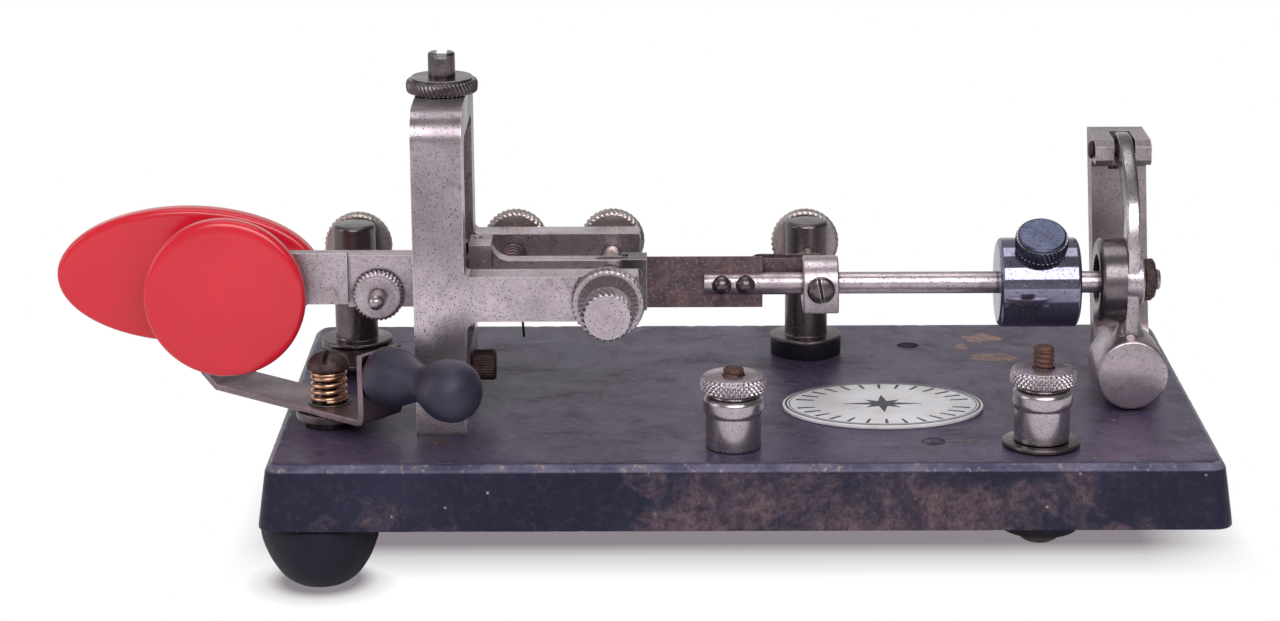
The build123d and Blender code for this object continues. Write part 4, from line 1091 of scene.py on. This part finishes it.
def build_posts():
    for name, middle, foot in (("dash_post", DASH_POST, 14.2), ("dot_post", DOT_POST, 14.33)):
        lathe(f"{name}_turned",
              [(0, foot), (6.7, foot), (6.7, foot + 0.55), (6.45, foot + 0.8), (4.15, foot + 0.8),
               (4.0, foot + 1.1), (4.0, 36.5), (3.75, 36.9), (3.3, 37.08), (0, 37.1)],
              (*middle, 0), UP, NICKEL_DARK, "base_unit", "dull_nickel", (name,), 72, 0.15)
    for name, middle, radius, top in (("dash_post", DASH_POST, 6.7, 13.38),
                                      ("dot_post", DOT_POST, 6.65, 14.31)):
        lathe(f"{name}_insulator", drum(radius, 11.45, top), (*middle, 0), UP, FIBRE, "base_unit",
              "black_insulator", ("post_insulators",), 64, 0.25)
    dress("closer_contact_plate", NICKEL_DARK, 0.15)


# ---- the vibrating rod ----
def build_rod():
    body = "rod_set"
    dress("vibrator_rod", NICKEL, 0.1)
    dome = [(1.72 * math.cos(t), 10.3 + 1.55 * math.sin(t)) for t in around(32)[:8]]
    for i, x in enumerate((-3.4, 0.8)):
        lathe(f"rod_rivet_{i + 1}", [(0, 8.0), (1.3, 8.0), (1.3, 9.2), (1.72, 9.6), *dome, (0, 11.85)],
              (x, 0, AXIS_Z), FRONT, NICKEL_DARK, body, "dull_nickel", ("rod_rivets",), 48)
    collar = [(MID_Y + 4.9 * math.cos(t), AXIS_Z + 4.9 * math.sin(t)) for t in around(32)[:17]]
    collar += [(-13.8, 29.6), (-4.0, 29.6)]
    slab("contact_collar_milled", collar, "x", 11.0, 6.3, NICKEL, body, ("contact_collar",),
         0.32, 3)
    slotted("collar_screw_turned", "collar_screw",
            [(0, -0.2), (2.2, -0.2), (2.45, 0.1), (2.45, 0.45), (2.1, 0.95), (1.3, 1.22), (0, 1.3)],
            (14.1, -13.8, AXIS_Z), FRONT, (-0.2, 0, 1), (0.6, 0.85), NICKEL_DARK, body, "dull_nickel", 56,
            0.15)
    dress("contact_spring", SPRING_STEEL, 0.08, 1)
    dress("dot_contact", NICKEL_SMOOTH, 0.1)


def build_weight():
    lathe("weight_turned",
          [(1.98, 0), (7.2, 0), (7.95, 0.5), (7.95, 13.8), (7.2, 14.3), (1.98, 14.3)],
          (45.65, MID_Y, AXIS_Z), RIGHT, CHROME, "weight", "chrome", ("speed_weight",), 120, 0.25,
          closed=True)
    leaning = (0, -0.5, 0.8660254)
    turned("weight_thumbscrew_turned", "weight_thumbscrew", (52.8, MID_Y, AXIS_Z), leaning,
           [(0, 2.0), (1.5, 2.0), (1.5, 8.5), (3.9, 8.5), *rim(4.72, 8.7, 11.3, 0.22, 7), (4.25, 11.65),
            (4.05, 11.85), (3.85, 11.85), (0, 11.85)],
           WEIGHT_SCREW, "chrome", segs=320, cut=(8.8, 11.2, 0.32, rope(34, 0.4), 0.2), sharp=55)


# ---- the circuit closer ----
CLOSER_PIVOT = (-72.9, -19.6)


def build_closer():
    dress("closer_lever", CLOSER_STEEL, 0.14)
    dress("closer_washers", NICKEL_DARK, 0.12)
    turn = math.radians(-38.5)
    ahead = Vector((math.cos(turn), math.sin(turn), 0))
    side = Vector((-math.sin(turn), math.cos(turn), 0))
    start = Vector((*CLOSER_PIVOT, 23.5)) + ahead * 13.02 + side * -1.4
    curve = smooth_path([(3.6, 0.02), (4.8, 1.2), (5.2, 2.8), (5.2, 4.8), (4.5, 7.0), (3.65, 9.0),
                         (3.25, 10.6),
                         (3.6, 12.2), (4.5, 14.0), (5.2, 15.8), (5.4, 17.6), (5.0, 19.6), (3.9, 21.2),
                         (2.2, 22.2), (0, 22.58)], 4)
    lathe("closer_knob_moulded", [(0.0, 0.02)] + [(max(p.x, 0.0), p.y) for p in curve], start, ahead,
          BAKELITE, "closer_set", "black_bakelite", ("closer_knob",), 96, sharp=70)
    slotted("closer_screw_turned", "closer_pivot_screw",
            [(0, 12), (1.5, 12), (1.5, 21.4), (3.1, 21.45), (3.75, 21.8), (3.8, 22.2), (3.55, 23.1),
             (2.9, 23.9), (2.0, 24.45), (1.0, 24.73), (0, 24.8)],
            (*CLOSER_PIVOT, 0), UP, (0.1, 1, 0), (0.85, 1.5), RUST_DARK, "base_unit", "rusted_steel", 64)
    coil("closer_spring_wound", "closer_spring", 2.85, 0.42, 5.2, (*CLOSER_PIVOT, 15.78), UP, 5.68, BRONZE,
         "base_unit")


# ---- the damper ----
RING_Y = MID_Y + 1.5
ARM_X = 68.25


def build_damper():
    body = "damper_set"
    # the bracket's darker nickel is painted shade
    dress("damper_bracket", SHADED_BRACKET_NICKEL, 0.6, 3, 35)
    lathe("damper_pin_turned", [(0, 0), (1.2, 0), (1.2, 10.5), (1.6, 10.55), (1.65, 10.85), (1.3, 11.3),
                                (0, 11.5)],
          (74.7, 7, 54.5), LEFT, RUST_DARK, "base_unit", "rusted_steel", ("damper_pin",), 40, 0.15)
    build_damper_arm(body)
    lathe("damper_ring_turned",
          [(0, 4.6), (0, 3.3), (4.2, 3.3), (4.2, 0.45), (4.6, 0.0), (6.9, 0.0), (7.35, 0.35), (7.5, 0.9),
           (7.5, 4.6)],
          (63.6, RING_Y, AXIS_Z), RIGHT, RING_STEEL, body, "dull_nickel", ("damper_ring",), 120)
    build_ring_nut(body)
    lathe("ring_stud_turned", [(0, 0), (1.9, 0), (1.9, 7.1), (1.6, 7.55), (0, 7.6)], (67.3, RING_Y, AXIS_Z),
          RIGHT,
          NICKEL_SMOOTH, body, "rusted_steel", ("ring_bolt",), 48, 0.15, (6.4, 7.2, 0.2, thread(0.7), 0.1),
          50)


def build_damper_arm(body):
    """Bent flat arm with a round boss for the ring's bolt, an eye on its pin, and a short drum for a bob."""
    spine = smooth_path([(9.0, 54.9), (5.0, 55.0), (0.6, 53.2), (-3.4, 50.4), (-6.9, 46.6), (-8.6, 42.0),
                         (-9.0, 37.0), (-9.0, 31.0), (-9.0, 24.0), (-9.0, 18.0)])
    half = 2.5
    left, right = [], []
    for i, p in enumerate(spine):
        along = spine[min(i + 1, len(spine) - 1)] - spine[max(i - 1, 0)]
        side = Vector((-along.y, along.x)).normalized() * half
        left.append(tuple(p + side))
        right.append(tuple(p - side))
    slab("damper_arm_bent", left + right[::-1], "x", ARM_X, 2.5, ARM_NICKEL, body,
         ("damper_arm",), 0.5, 3, sharp=50)
    how = (body, "dull_nickel", ("damper_arm",))
    lathe("damper_boss_turned", [(0, 0.1), (4.6, 0.1), (4.6, 3.2), (4.3, 3.5), (0, 3.5)],
          (ARM_X, RING_Y, AXIS_Z), RIGHT, NICKEL, *how, 72, 0.2)
    lathe("damper_eye_turned", drum(2.6, 0.05, 2.45), (ARM_X, 7.0, 54.5), RIGHT, NICKEL, *how, 48, 0.2)
    lathe("damper_neck_turned", [(0, 3.0), (3.6, 3.0), (2.9, 5.9), (2.4, 6.9), (1.9, 8.6), (1.55, 11.0),
                                 (0, 12.0)],
          (69.5, MID_Y, 18.3), UP, NICKEL, *how, 48, 0.1, sharp=70)
    lathe("damper_bob_turned",
          [(0, 0), (5.9, 0), (6.2, 0.12), (6.35, 0.45), (6.35, 11.5), (6.2, 11.8), (5.9, 11.9), (0, 11.9)],
          (69.5, -14.9, 18.3), BACK, BOB_NICKEL, *how, 96, sharp=60)


def smooth_path(points, steps=5):
    """Open Catmull-Rom curve through points of a plane."""
    out = []
    last = len(points) - 1
    for i in range(last):
        p0, p1, p2, p3 = (Vector(points[min(max(i + k, 0), last)]) for k in (-1, 0, 1, 2))
        for k in range(steps):
            t = k / steps
            curve = (2 * p1) + (p2 - p0) * t + (2 * p0 - 5 * p1 + 4 * p2 - p3) * t * t
            out.append(0.5 * (curve + (3 * p1 - p0 - 3 * p2 + p3) * t ** 3))
    out.append(Vector(points[-1]))
    return out


def build_ring_nut(body):
    """Hex nut with chamfered corners and a round bore."""
    across_flats, across_corners = 3.38, 3.9
    rings = []
    for r, x in ((1.95, 71.78), (3.2, 71.78), (None, 72.1), (None, 73.4), (3.2, 73.83), (1.95, 73.83)):
        ring = []
        for a in around(96):
            a += 0.25
            flat = across_flats / math.cos((a + math.pi / 6) % (math.pi / 3) - math.pi / 6)
            reach = r or min(flat, across_corners)
            ring.append((x, RING_Y + reach * math.cos(a), AXIS_Z + reach * math.sin(a)))
        rings.append(ring)
    finish_mesh("ring_nut_hex", *skin(rings, closed=True), RUST_DARK, body, "rusted_steel", ("ring_bolt",),
                30)


bpy.context.scene.view_settings.view_transform = "Standard"
for build in (build_camera, build_world, build_lights, build_floor, build_base, build_badge, build_terminals,
              build_frame, build_dot_lever, build_dash_lever, build_stop_screws, build_posts, build_rod,
              build_weight, build_closer, build_damper):
    build()
